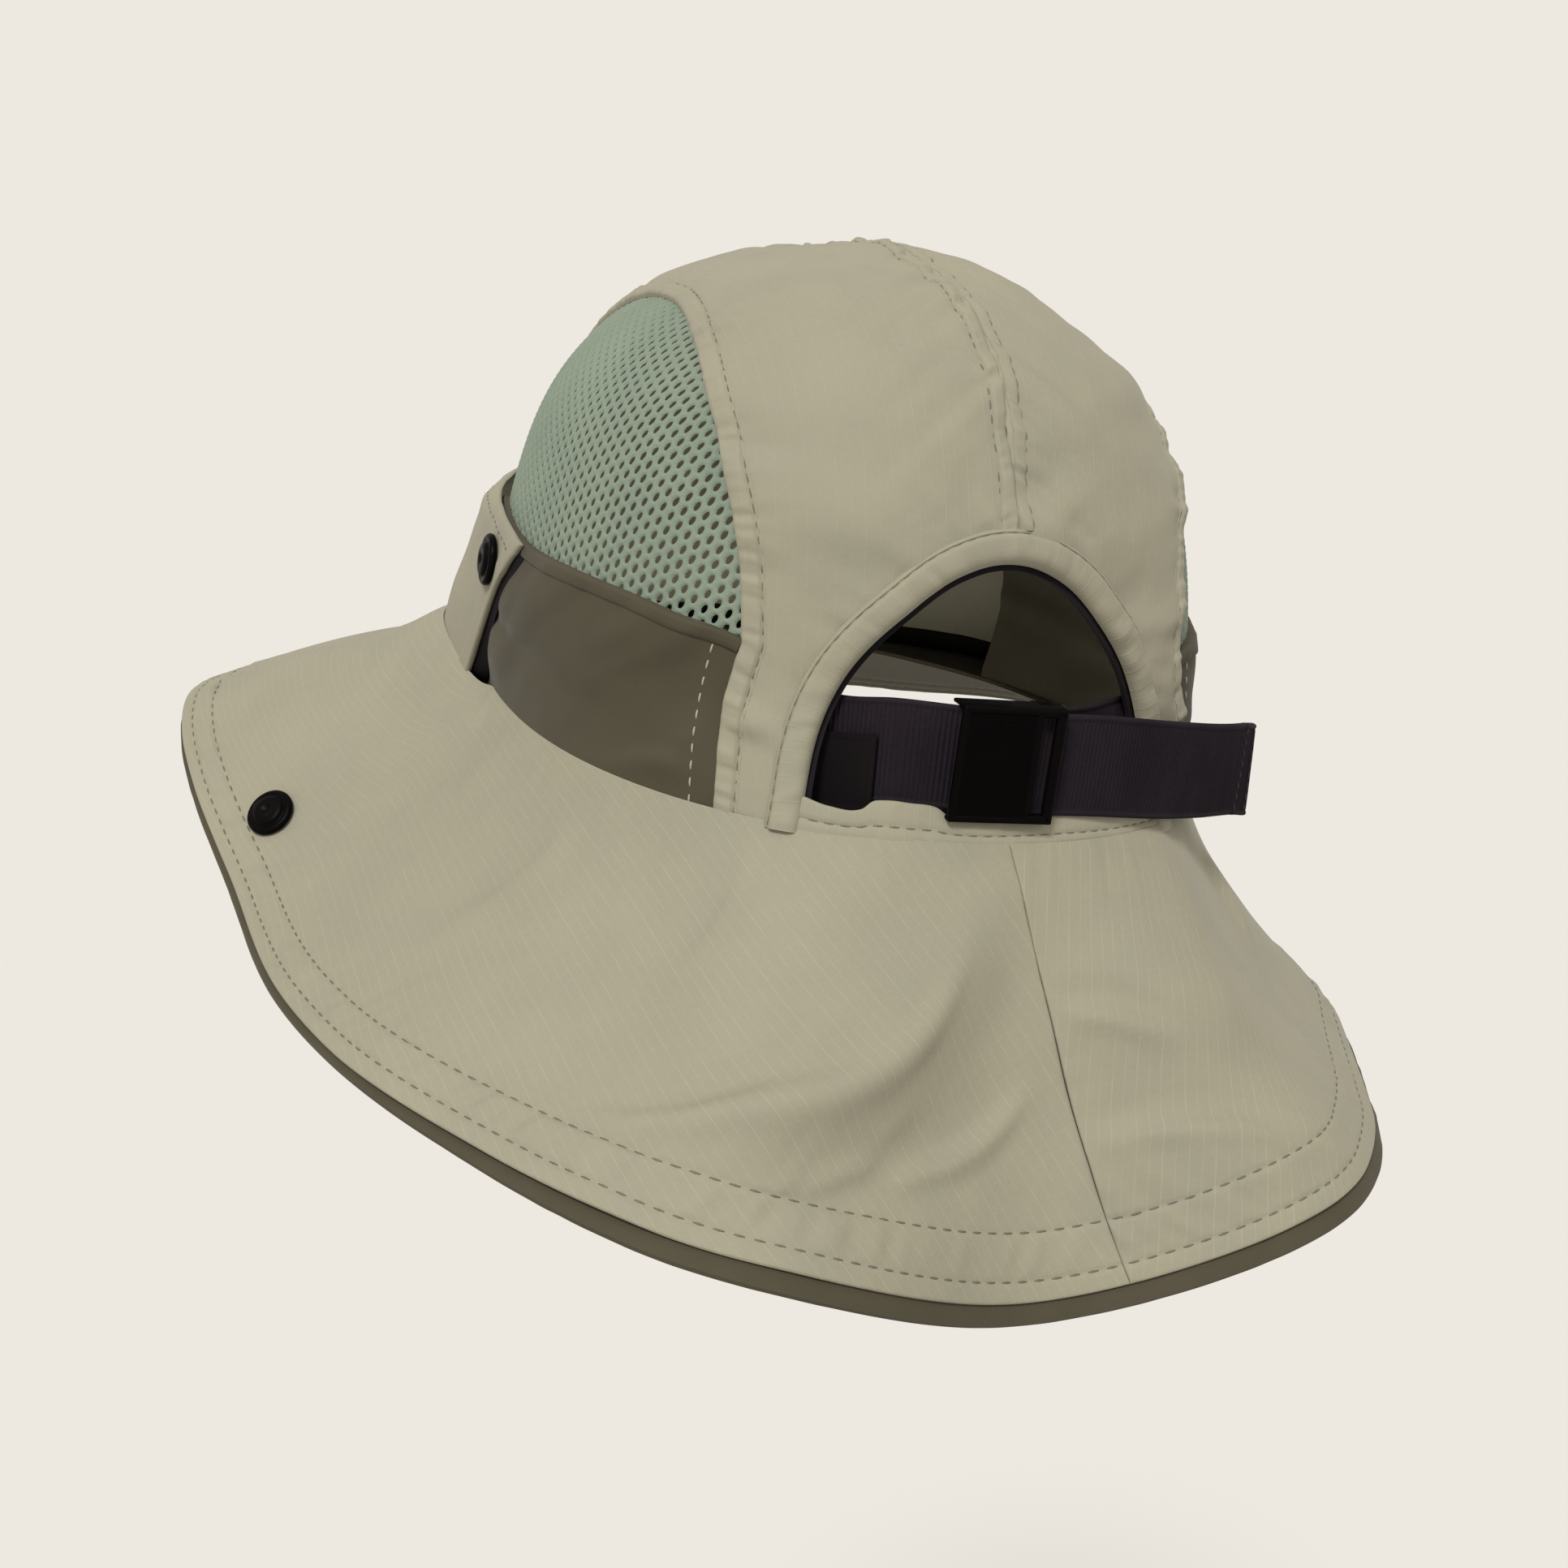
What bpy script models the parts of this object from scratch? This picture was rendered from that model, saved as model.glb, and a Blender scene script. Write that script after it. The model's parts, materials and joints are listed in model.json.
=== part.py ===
import math

import bmesh
import bpy
import numpy as np
from mathutils import Matrix, Vector

# Flap hat in metres, +Z up, front at -Y, wearer's left at +X.
# The origin is the centre of the crown's base, where a head sits.

# Crown
CROWN_HEIGHT = 0.1156
CROWN_HALF_WIDTH = 0.0811
CROWN_HALF_LENGTH = 0.1022
CROWN_LEAN = 0.0085
CROWN_SQUARENESS = 2.24
DOME_FULLNESS = 2.6
CROWN_MIDDLE = 0.3

# Cloth and fits
CLOTH = 0.0011
LAYER_GAP = 0.0008
SEAM_GAP = 0.0004
SEAM_ALLOWANCE = 0.004

# Rear opening
ARCH_HEIGHT = 0.0555
ARCH_HALF_ANGLE = 28.6
BINDING_WIDTH = 0.007
BINDING_THICKNESS = 0.0024
FACING_THICKNESS = 0.001
FACING_SHOWS = 0.0010
FACING_WIDTH = 0.010
ARCH_FOOT_LEAN = 0.35
REAR_BAND_HEIGHT = 0.0028

# Side panels and front band, in degrees from the rear
PANEL_REAR_ANGLE = 41.8
PANEL_FRONT_ANGLE = 118.0
BAND_SLIT_ANGLE = 105.0
BAND_TOP_ANGLE = 85.0
BAND_STAND_OFF = 0.0115
BAND_FOOT_HEIGHT = 0.009
BAND_CLEARANCE = 0.0018
BAND_RISE_SPAN = 8.0
BAND_LIFT_SPAN = (-0.12, 0.34)

# Brim and flap
BRIM_REACH = 0.1425
FLAP_DROP = 0.0884
BRIM_SEAM_DROP = 0.0010
BRIM_SEAM_INSET = 0.0008
BRIM_PLY_GAP = 0.0006
FLAP_HEM = 0.0045
SIDE_HEM = 0.0020
HEM_NARROWS = (20.0, 70.0)
FLAP_HOLLOW = 0.0060
BILL_ARCH = 0.0070
BACK_SEAM_SWING = -8.0
BACK_SWING_FADES = 60.0
# Angles over which the flap's hollow sides begin and end, and over which the bill begins
FLAP_SIDE_STARTS = (12.0, 45.0)
FLAP_SIDE_ENDS = (90.0, 125.0)
BILL_STARTS = (95.0, 122.0)

# Strap, buckle and label
STRAP_WIDTH = 0.022
STRAP_THICKNESS = 0.0014
STRAP_FOOT = 0.0075
STRAP_TIP_DROP = 0.0120
BUCKLE_WIDTH = 0.0231
BUCKLE_HEIGHT = 0.0246
BUCKLE_PLATE = 0.0018
BUCKLE_ANGLE = 1.8
BUCKLE_SLOT = 0.0030
BUCKLE_SLOT_HEIGHT = 0.0205
BUCKLE_BAR = 0.0024
STUB_BAR = 0.0016
STUB_THICKNESS = 0.0012
STUB_TAIL = 0.006
STUB_CLEARANCE = 0.0013
LABEL_THICKNESS = 0.0008
LABEL_HEIGHT = 0.0164
LABEL_HANGS = 0.0020

# Snaps
SNAP_RADIUS = 0.0063
SNAP_HEIGHT = 0.0022
SNAP_SEAT = 0.0008
BRIM_SNAP_ANGLE = 105.0
BRIM_SNAP_SHARE = 0.76
CROWN_SNAP_ANGLE = 109.0
CROWN_SNAP_SHARE = 0.74
SNAP_STEPS = 16
# Snap's section: share of its radius, share of its height
SNAP_PROFILE = [(0.0, 1.0), (0.42, 0.97), (0.72, 0.78), (0.86, 0.62), (1.0, 0.34), (1.0, 0.0), (0.0, 0.0)]

# Crown sections: height, half width and half length, as shares of the crown's own sizes
CROWN_SECTIONS = [
    (0.00, 1.000, 1.000),
    (0.20, 1.025, 0.930),
    (0.45, 1.040, 0.960),
    (0.70, 1.067, 1.045),
    (0.88, 1.054, 1.150),
    (1.00, 1.050, 1.170),
]

# Mesh panel's upper seam and lower seam: angle from the rear, share of the crown's height
MESH_UPPER_SEAM = [
    (37.3, 0.294),
    (40.0, 0.450),
    (46.0, 0.600),
    (61.0, 0.760),
    (94.0, 0.850),
    (122.0, 0.760),
    (136.0, 0.600),
    (141.0, 0.430),
]
MESH_LOWER_SEAM = [
    (37.3, 0.294),
    (50.0, 0.318),
    (70.0, 0.338),
    (88.0, 0.345),
    (118.0, 0.360),
    (141.0, 0.380),
]
CENTRE_SEAM_FRONT = 0.56
FRONT_CROWN_FOOT = [(141.0, 0.430), (160.0, 0.415), (180.0, 0.410)]

# Rear opening: share of its height, share of its half angle
ARCH_SHAPE = [(0.0, 1.0), (0.3, 0.895), (0.55, 0.752), (0.8, 0.476), (0.94, 0.25)]

# Front band: angle, top as a share of the crown's height, share of the stand-off,
# share of the foot's height
BAND_TOP = [
    (85.0, 0.345, 0.15, 0.0),
    (96.0, 0.375, 0.22, 0.0),
    (105.0, 0.390, 0.45, 0.0),
    (118.0, 0.405, 1.00, 1.0),
    (141.0, 0.450, 0.60, 1.0),
    (180.0, 0.450, 0.35, 1.0),
]
# Front band's section: share of its height, share of the stand-off
BAND_SECTION = [(0.0, 1.15), (0.25, 0.92), (0.5, 0.64), (0.75, 0.47), (0.9, 0.34), (1.0, 0.0)]

# Brim's edge: angle, reach as a share of BRIM_REACH, drop as a share of FLAP_DROP
BRIM_EDGE = [
    (0.0, 1.000, 1.000),
    (25.0, 1.140, 0.774),
    (50.0, 1.037, 0.725),
    (75.0, 0.985, 0.698),
    (100.0, 1.014, 0.629),
    (125.0, 1.260, 0.310),
    (150.0, 1.345, 0.370),
    (180.0, 1.289, 0.400),
]

# The brim laid flat for its folds: width and middle radius, as shares of BRIM_REACH
FOLD_WIDTH = 0.42
FOLD_RADIUS = 0.9
# Folds of the flap: start and end as angle and share of the brim's width,
# half breadth as a share of BRIM_REACH, height as a share of FLAP_DROP
FLAP_FOLDS = [
    (2.0, 0.15, 30.0, 0.78, 0.060, 0.040),
    (4.0, 0.55, 32.0, 0.95, 0.055, -0.028),
    (-2.0, 0.36, -28.0, 0.46, 0.055, 0.028),
    (-6.0, 0.66, -30.0, 0.82, 0.050, 0.026),
    (96.0, 0.05, 110.0, 0.72, 0.060, 0.030),
    (52.0, 0.30, 64.0, 0.95, 0.090, 0.026),
    (-52.0, 0.25, -66.0, 0.95, 0.090, 0.030),
]

# Strap's way round the opening: angle, stand-off from the crown, share of the tip's drop,
# and lean, which is 1 where the strap leans as the crown's wall does and 0 where it is upright
STRAP_WAY = [
    (36.0, -0.0046, 0.0, 0.6),
    (29.0, -0.0062, 0.05, 0.45),
    (22.5, -0.0048, 0.14, 0.32),
    (15.0, 0.0010, 0.16, 0.26),
    (9.0, 0.0042, 0.24, 0.14),
    (BUCKLE_ANGLE, 0.0064, 0.34, 0.0),
    (-12.0, 0.0072, 0.44, 0.06),
    (-23.0, 0.0082, 0.60, 0.10),
    (-35.0, 0.0113, 0.80, 0.0),
    (-44.0, 0.0148, 0.92, 0.1),
    (-48.0, 0.0166, 1.0, 0.5),
]
# The stub's way inside the opening's right side, in the same columns
STUB_WAY = [(-36.0, -0.0046, 0.0, 1.0), (-30.0, -0.0046, 0.0, 1.0), (-24.0, -0.0046, 0.0, 1.0)]
# The label's ends
LABEL_ANGLES = (24.0, 16.2)

# Grid steps
BRIM_COLUMNS = 36
BRIM_ROWS = 7
BAND_ROWS = (0.25, 0.5, 0.75, 0.9, 1.0)
ARCH_STEPS = 8
PANEL_COLUMNS = 21
PANEL_ROWS = 7

# Colour, roughness and metallic value of each finish
FINISHES = {
    "khaki": ((0.40, 0.36, 0.26), 0.85, 0.0),
    "brown": ((0.105, 0.089, 0.055), 0.85, 0.0),
    "mesh": ((0.22, 0.26, 0.20), 0.8, 0.0),
    "tape": ((0.018, 0.014, 0.018), 0.9, 0.0),
    "webbing": ((0.018, 0.014, 0.018), 0.8, 0.0),
    "plastic": ((0.004, 0.003, 0.003), 0.35, 0.0),
    "snap": ((0.006, 0.005, 0.005), 0.3, 0.6),
}


# Tables and curves

def read_table(rows, at, flat_ends=False):
    # a smooth curve through the rows of a table, whose first column runs one way
    table = np.array(rows, float)
    if table[0, 0] > table[-1, 0]:
        table = table[::-1]
    keys = table[:, 0]
    values = table[:, 1:]
    secants = np.diff(values, axis=0) / np.diff(keys)[:, None]
    slopes = np.vstack([secants[:1], (secants[1:] + secants[:-1]) / 2, secants[-1:]])
    if flat_ends:
        slopes[0] = 0
        slopes[-1] = 0
    at = np.clip(np.atleast_1d(np.asarray(at, float)), keys[0], keys[-1])
    row = np.clip(np.searchsorted(keys, at, side="right") - 1, 0, len(keys) - 2)
    width = (keys[row + 1] - keys[row])[:, None]
    t = (at - keys[row])[:, None] / width
    blend_low = 2 * t**3 - 3 * t**2 + 1
    blend_high = 3 * t**2 - 2 * t**3
    slope_low = (t**3 - 2 * t**2 + t) * width
    slope_high = (t**3 - t**2) * width
    return (blend_low * values[row] + blend_high * values[row + 1]
            + slope_low * slopes[row] + slope_high * slopes[row + 1])


def ease(value, low, high):
    t = np.clip((np.asarray(value, float) - low) / (high - low), 0, 1)
    return t * t * (3 - 2 * t)


def along(points, count):
    # a smooth line through the given points, as evenly spaced points
    points = np.asarray(points, float)
    spans = np.linalg.norm(np.diff(points, axis=0), axis=1)
    rows = np.column_stack([np.r_[0, np.cumsum(spans)], points])
    fine = read_table(rows, np.linspace(0, rows[-1, 0], 400))
    length = np.r_[0, np.cumsum(np.linalg.norm(np.diff(fine, axis=0), axis=1))]
    wanted = np.linspace(0, length[-1], count)
    return np.column_stack([np.interp(wanted, length, fine[:, k]) for k in range(fine.shape[1])])


# The crown's surface. A place on it is a point of a disc: the rim is the base, the middle
# is the top, and the angle is the angle from the rear towards the wearer's left.

def place(angle, share):
    angle = np.radians(np.atleast_1d(np.asarray(angle, float)))
    reach = 1 - np.arcsin(np.clip(share, 0, 1)) / (math.pi / 2)
    return np.column_stack([reach * np.sin(angle), reach * np.cos(angle)])


def crown_point(spots):
    spots = np.asarray(spots, float).reshape(-1, 2)
    reach = np.linalg.norm(spots, axis=1)
    angle = np.arctan2(spots[:, 0], spots[:, 1])
    share = np.sin(np.clip(1 - reach, -0.2, 1) * math.pi / 2)
    width, length = read_table(CROWN_SECTIONS, np.clip(share, 0, 1)).T
    dome = np.sqrt(np.clip(1 - np.clip(share, 0, 1)**DOME_FULLNESS, 0, 1))
    power = 2 / CROWN_SQUARENESS
    side = np.sign(np.sin(angle)) * np.abs(np.sin(angle))**power
    back = np.sign(np.cos(angle)) * np.abs(np.cos(angle))**power
    return np.column_stack([
        CROWN_HALF_WIDTH * width * dome * side,
        CROWN_HALF_LENGTH * length * dome * back - CROWN_LEAN * share,
        CROWN_HEIGHT * share,
    ])


def crown_slopes(spots):
    step = 0.004
    spots = np.asarray(spots, float).reshape(-1, 2)
    out = []
    for shift in (np.array([step, 0]), np.array([0, step])):
        out.append((crown_point(spots + shift) - crown_point(spots - shift)) / (2 * step))
    return out


def crown_normal(spots):
    across, back = crown_slopes(spots)
    normal = np.cross(across, back)
    normal /= np.linalg.norm(normal, axis=1)[:, None]
    outward = crown_point(spots) - np.array([0, 0, CROWN_HEIGHT * CROWN_MIDDLE])
    return normal * np.sign((normal * outward).sum(axis=1))[:, None]


def on_crown(spots, stand_off=0.0):
    return crown_point(spots) + crown_normal(spots) * np.asarray(stand_off).reshape(-1, 1)


def slide(spots, directions, distance):
    # moves places along the surface by a real distance
    across, back = crown_slopes(spots)
    out = np.array(spots, float)
    for k in range(len(out)):
        frame = np.column_stack([across[k], back[k]])
        out[k] += np.linalg.lstsq(frame, directions[k] * distance, rcond=None)[0]
    return out


def widen(line, distance):
    # moves a line on the crown sideways, to the right of its own direction seen from outside
    points = crown_point(line)
    run = np.gradient(points, axis=0)
    run /= np.linalg.norm(run, axis=1)[:, None]
    return slide(line, np.cross(crown_normal(line), run), distance)


def between(first, last, rows):
    shares = np.linspace(0, 1, rows)[:, None, None]
    return first[None] * (1 - shares) + last[None] * shares


# The seams

def arch_line(distance=0.0):
    # the rear opening's edge from the wearer's left round to the right
    top = ARCH_HEIGHT / CROWN_HEIGHT
    half = [(angle * ARCH_HALF_ANGLE, height * top) for height, angle in ARCH_SHAPE]
    rows = half + [(0.0, top)] + [(-angle, height) for angle, height in reversed(half)]
    spots = np.vstack([place(angle, share) for angle, share in rows])
    line = along(spots, 2 * ARCH_STEPS + 1)
    if distance:
        line = widen(line, distance)
    line[ARCH_STEPS, 0] = 0
    mirrored = line[::-1] * np.array([-1, 1])
    line = (line + mirrored) / 2
    for end in (0, -1):
        line[end] /= np.linalg.norm(line[end])
    return line


def seam(rows, count):
    return along(np.vstack([place(angle, share) for angle, share in rows]), count)


# The brim's surface: angle from the rear and share of the way from the crown to the edge

def brim_edge(angle):
    away = np.abs((angle + 180) % 360 - 180)
    reach, drop = read_table(BRIM_EDGE, away, flat_ends=True).T
    turn = np.radians(angle)
    return np.column_stack([BRIM_REACH * reach * np.sin(turn),
                            BRIM_REACH * reach * np.cos(turn),
                            -FLAP_DROP * drop])


def brim_root(angle):
    spots = place(angle, 0.0)
    flat = crown_point(spots)
    out = flat * np.array([1, 1, 0])
    out /= np.linalg.norm(out, axis=1)[:, None]
    return flat + out * BRIM_SEAM_INSET - np.array([0, 0, BRIM_SEAM_DROP])


def plain_brim(angle, share):
    root = brim_root(angle)
    edge = brim_edge(angle)
    return root + (edge - root) * np.asarray(share).reshape(-1, 1)


def brim_bow(angle, share):
    # the sides of the flap fall steeply from the crown and then flare; the bill is arched
    sides = ease(np.abs(angle), *FLAP_SIDE_STARTS) * (1 - ease(np.abs(angle), *FLAP_SIDE_ENDS))
    front = ease(np.abs(angle), *BILL_STARTS)
    rise = BILL_ARCH * front - FLAP_HOLLOW * sides
    return rise * np.sin(math.pi * np.clip(share, 0, 1)**0.8)


def swung(angle, share):
    # the back seam runs down a little to the wearer's right, and the cloth with it
    return angle + BACK_SEAM_SWING * share * (1 - ease(np.abs(angle), 0, BACK_SWING_FADES))


def fold_height(angle, share):
    height = np.zeros(len(angle))
    width = BRIM_REACH * FOLD_WIDTH
    arc = BRIM_REACH * FOLD_RADIUS
    for a0, s0, a1, s1, breadth, rise in FLAP_FOLDS:
        start = np.array([math.radians(a0) * arc, s0 * width])
        line = np.array([math.radians(a1) * arc, s1 * width]) - start
        spot = np.column_stack([np.radians(angle) * arc, share * width]) - start
        t = spot @ line / (line @ line)
        away = np.linalg.norm(spot - np.clip(t, 0, 1)[:, None] * line, axis=1)
        fade = ease(t, -0.25, 0.3) * (1 - ease(t, 0.75, 1.2))
        height += rise * FLAP_DROP * np.exp(-(away / (breadth * BRIM_REACH))**2) * fade
    return height * ease(share, 0.0, 0.12)


def brim_point(angle, share, stand_off=0.0):
    angle = np.atleast_1d(np.asarray(angle, float))
    share = np.broadcast_to(np.asarray(share, float), angle.shape)
    turned = plain_brim(angle + 1.0, share) - plain_brim(angle - 1.0, share)
    outward = brim_edge(angle) - brim_root(angle)
    normal = np.cross(outward, turned)
    normal /= np.linalg.norm(normal, axis=1)[:, None]
    normal *= np.sign(normal[:, 2])[:, None]
    lift = fold_height(angle, share) + brim_bow(angle, share) + np.asarray(stand_off)
    return plain_brim(angle, share) + normal * lift.reshape(-1, 1)


def band_foot_share(angle):
    # how far out along the brim the front band stands
    run = np.linalg.norm((brim_edge(angle) - brim_root(angle))[:, :2], axis=1)
    return band_stand_off(angle) * BAND_SECTION[0][1] / run


def band_stand_off(angle):
    share = read_table(BAND_TOP, np.clip(np.abs(angle), BAND_TOP_ANGLE, 180))[:, 1]
    return BAND_STAND_OFF * share


def band_foot_height(angle):
    share = read_table(BAND_TOP, np.clip(np.abs(angle), BAND_TOP_ANGLE, 180))[:, 2]
    return BAND_FOOT_HEIGHT * share


def band_front(angle):
    return ease(np.abs(angle), BAND_SLIT_ANGLE - BAND_RISE_SPAN, BAND_SLIT_ANGLE)


def top_share(angle, share):
    # where the upper cloth's own share of its width lies on the brim
    inner = band_foot_share(angle) * band_front(angle)
    return inner + (1 - inner) * share


def top_cloth(angle, share):
    # the brim's upper cloth, which lifts at the front to meet the foot of the band
    angle = np.atleast_1d(np.asarray(angle, float))
    share = np.broadcast_to(np.asarray(share, float), angle.shape)
    front = band_front(angle)
    low = brim_point(angle, top_share(angle, share), BRIM_PLY_GAP / 2)
    foot = brim_point(angle, top_share(angle, 0.0), BRIM_PLY_GAP / 2)
    rise = (band_foot_height(angle) - foot[:, 2]) * front
    low[:, 2] += rise * (1 - ease(share, *BAND_LIFT_SPAN)) / (1 - ease(0.0, *BAND_LIFT_SPAN))
    return low


def band_cloth(foot_angle, share):
    # the front band from its foot up to the crown, with a slanting free end at the slit
    foot_angle = np.atleast_1d(np.asarray(foot_angle, float))
    sign = np.where(foot_angle < 0, -1.0, 1.0)
    away = np.abs(foot_angle)
    slant = (BAND_SLIT_ANGLE - BAND_TOP_ANGLE) * (180 - away) / (180 - BAND_SLIT_ANGLE)
    angle = away - slant * share
    top = read_table(BAND_TOP, np.clip(angle, BAND_TOP_ANGLE, 180))[:, 0] * CROWN_HEIGHT
    foot = band_foot_height(away)
    height = foot + (top - foot) * share
    stand = read_table(BAND_SECTION, share)[:, 0] * band_stand_off(angle) + BAND_CLEARANCE * share
    return on_crown(place(angle * sign, height / CROWN_HEIGHT), stand)


# Building

def finish(name):
    colour, roughness, metallic = FINISHES[name]
    material = bpy.data.materials.new(name)
    material.use_nodes = True
    shader = material.node_tree.nodes["Principled BSDF"]
    shader.inputs["Base Color"].default_value = (*colour, 1)
    shader.inputs["Roughness"].default_value = roughness
    shader.inputs["Metallic"].default_value = metallic
    material.diffuse_color = (*colour, 1)
    return material


def add_object(name, bm, collection, material):
    mesh = bpy.data.meshes.new(name)
    bm.to_mesh(mesh)
    bm.free()
    piece = bpy.data.objects.new(name, mesh)
    collection.objects.link(piece)
    mesh.materials.append(material)
    mesh.shade_smooth()
    mesh.set_sharp_from_angle(angle=math.radians(40))
    return piece


def add_grids(bm, grids):
    for grid in grids:
        rows, columns = grid.shape[:2]
        verts = [[bm.verts.new(grid[i, j]) for j in range(columns)] for i in range(rows)]
        for i in range(rows - 1):
            for j in range(columns - 1):
                corners = (verts[i][j], verts[i][j + 1], verts[i + 1][j + 1], verts[i + 1][j])
                bm.faces.new(corners)
    bmesh.ops.remove_doubles(bm, verts=bm.verts, dist=1e-6)


def shell(name, grids, thickness, collection, material, grows=1.0, outward=(0, 0, 0)):
    # an open sheet given its thickness outwards (grows 1) or inwards (grows -1)
    bm = bmesh.new()
    add_grids(bm, grids)
    bmesh.ops.recalc_face_normals(bm, faces=bm.faces)
    facing = sum((f.normal.dot(f.calc_center_median()) - f.normal.dot(outward)) * f.calc_area()
                 for f in bm.faces)
    if facing < 0:
        bmesh.ops.reverse_faces(bm, faces=bm.faces)
    piece = add_object(name, bm, collection, material)
    solid = piece.modifiers.new("Thickness", "SOLIDIFY")
    solid.thickness = thickness
    solid.offset = grows
    solid.use_rim = True
    solid.use_quality_normals = True
    return piece


def grid_on_crown(spots, stand_off):
    rows, columns = spots.shape[:2]
    return on_crown(spots.reshape(-1, 2), stand_off).reshape(rows, columns, 3)


def mirrored(grid, side):
    return grid * np.array([side, 1, 1])


def khaki_crown(side):
    # from the opening and the centre seam out to the mesh and the side panel
    rear = between(place(PANEL_REAR_ANGLE, 0.0), place(*MESH_UPPER_SEAM[0]), 5)[:, 0]
    upper = seam(MESH_UPPER_SEAM, PANEL_COLUMNS)
    front = seam(FRONT_CROWN_FOOT, 5)
    outer = np.vstack([rear, upper[1:], front[1:]])
    arch = arch_line(BINDING_WIDTH + SEAM_GAP)[:ARCH_STEPS + 1]
    top = arch[-1]
    front_end = place(180.0, CENTRE_SEAM_FRONT)[0]
    centre = between(top[None], front_end[None], len(outer) - ARCH_STEPS)[:, 0]
    inner = np.vstack([arch, centre[1:]])
    grid = grid_on_crown(between(inner, outer, PANEL_ROWS), LAYER_GAP / 2)
    seam_plane = np.abs(grid[..., 0]) < SEAM_GAP / 2
    grid[seam_plane, 0] = SEAM_GAP / 2
    return mirrored(grid, side)


def mesh_panel(side):
    upper = widen(seam(MESH_UPPER_SEAM, PANEL_COLUMNS), -SEAM_ALLOWANCE)
    lower = widen(seam(MESH_LOWER_SEAM, PANEL_COLUMNS), SEAM_ALLOWANCE)
    return mirrored(grid_on_crown(between(lower, upper, PANEL_ROWS), -LAYER_GAP / 2), side)


def side_panel(side):
    rows = [row for row in MESH_LOWER_SEAM if row[0] <= PANEL_FRONT_ANGLE]
    upper = seam(rows, 11)
    lower = place(np.linspace(PANEL_REAR_ANGLE, PANEL_FRONT_ANGLE, 11), 0.0)
    spots = between(lower, upper, 5)
    rear = widen(spots[:, 0], SEAM_GAP)
    rear[0] /= np.linalg.norm(rear[0])
    spots[:, 0] = rear
    return mirrored(grid_on_crown(spots, LAYER_GAP / 2), side)


def hem_share(angles):
    # the share of the brim's width that the upper cloth covers
    hem = FLAP_HEM + (SIDE_HEM - FLAP_HEM) * ease(np.abs(angles), *HEM_NARROWS)
    return 1 - hem / np.linalg.norm(brim_edge(angles) - brim_root(angles), axis=1)


def brim_half(side):
    angles = np.linspace(0, 180, BRIM_COLUMNS + 1)
    brim = np.array([top_cloth(swung(angles * side, share), share * hem_share(angles))
                     for share in np.linspace(0, 1, BRIM_ROWS + 1)])
    first = int(round(BAND_SLIT_ANGLE / 180 * BRIM_COLUMNS))
    feet = angles[first:] * side
    band = [brim[0, first:]]
    for share in BAND_ROWS:
        band.append(band_cloth(feet, share))
    band = np.array(band)
    brim[:, 0, 0] += side * SEAM_GAP / 2
    for grid in (brim, band):
        grid[:, -1, 0] = side * SEAM_GAP / 2
    return [brim, band]


def brim_lining():
    angles = np.linspace(-180, 180, 2 * BRIM_COLUMNS + 1)
    shares = [np.zeros(len(angles))]
    ways = [angles]
    for share in np.linspace(0, 1, BRIM_ROWS + 1)[1:]:
        ways.append(swung(angles, share))
        shares.append(top_share(ways[-1], share * hem_share(angles)))
    ways.append(ways[-1])
    shares.append(np.ones(len(angles)))
    return np.array([brim_point(way, share, -BRIM_PLY_GAP / 2)
                     for way, share in zip(ways, shares)])


def binding(inner, outer, stand_off):
    return grid_on_crown(between(arch_line(inner), arch_line(outer), 3), stand_off)


def rear_band():
    top = REAR_BAND_HEIGHT / CROWN_HEIGHT
    end = ARCH_HALF_ANGLE - math.degrees(2 * SEAM_GAP / CROWN_HALF_LENGTH)
    angles = np.linspace(-end, end, 2 * ARCH_STEPS + 1)
    narrowing = top / (ARCH_HEIGHT / CROWN_HEIGHT) * ARCH_FOOT_LEAN
    rows = [place(angles * (1 - narrowing * t), top * t) for t in (0.0, 0.5, 1.0)]
    return grid_on_crown(np.array(rows), LAYER_GAP / 2)


def strap_edges(way, count):
    # the strap's lower and upper edge over a way round the crown
    rows = np.array(way, float)
    foot = place(rows[:, 0], STRAP_FOOT / CROWN_HEIGHT)
    low = on_crown(foot, rows[:, 1])
    head = on_crown(place(rows[:, 0], (STRAP_FOOT + STRAP_WIDTH) / CROWN_HEIGHT), rows[:, 1])
    lean = (head - low) * np.column_stack([rows[:, 3], rows[:, 3], np.ones(len(rows))])
    lean /= np.linalg.norm(lean, axis=1)[:, None]
    low[:, :2] += ((head - low) / 2)[:, :2] * (1 - rows[:, 3:4])
    drop = rows[:, 2:3] * STRAP_TIP_DROP * np.array([0, 0, 1])
    low = low - drop
    both = along(np.column_stack([low, low + lean * STRAP_WIDTH]), count)
    return both[:, :3], both[:, 3:]


def strap_main():
    low, high = strap_edges(STRAP_WAY, 30)
    return between(low, high, 2)


def buckle_axes():
    # the buckle's place on the strap: centre, then X to the wearer's left, Y outward, Z up it
    low, high = strap_edges(STRAP_WAY, 400)
    middle = (low + high) / 2
    angles = np.degrees(np.arctan2(middle[:, 0], middle[:, 1]))
    spot = int(np.argmin(np.abs(angles - BUCKLE_ANGLE)))
    up = high[spot] - low[spot]
    up /= np.linalg.norm(up)
    left = middle[spot - 3] - middle[spot + 3]
    left -= up * (left @ up)
    left /= np.linalg.norm(left)
    return middle[spot], left, np.cross(up, left), up


def stub_bar_shift():
    return -(BUCKLE_WIDTH / 2 - STUB_BAR / 2 - STUB_THICKNESS - 2 * SEAM_GAP)


def stub_bar_depth():
    return STRAP_THICKNESS / 2 + STUB_CLEARANCE + STUB_THICKNESS + STUB_BAR / 2 + SEAM_GAP


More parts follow.
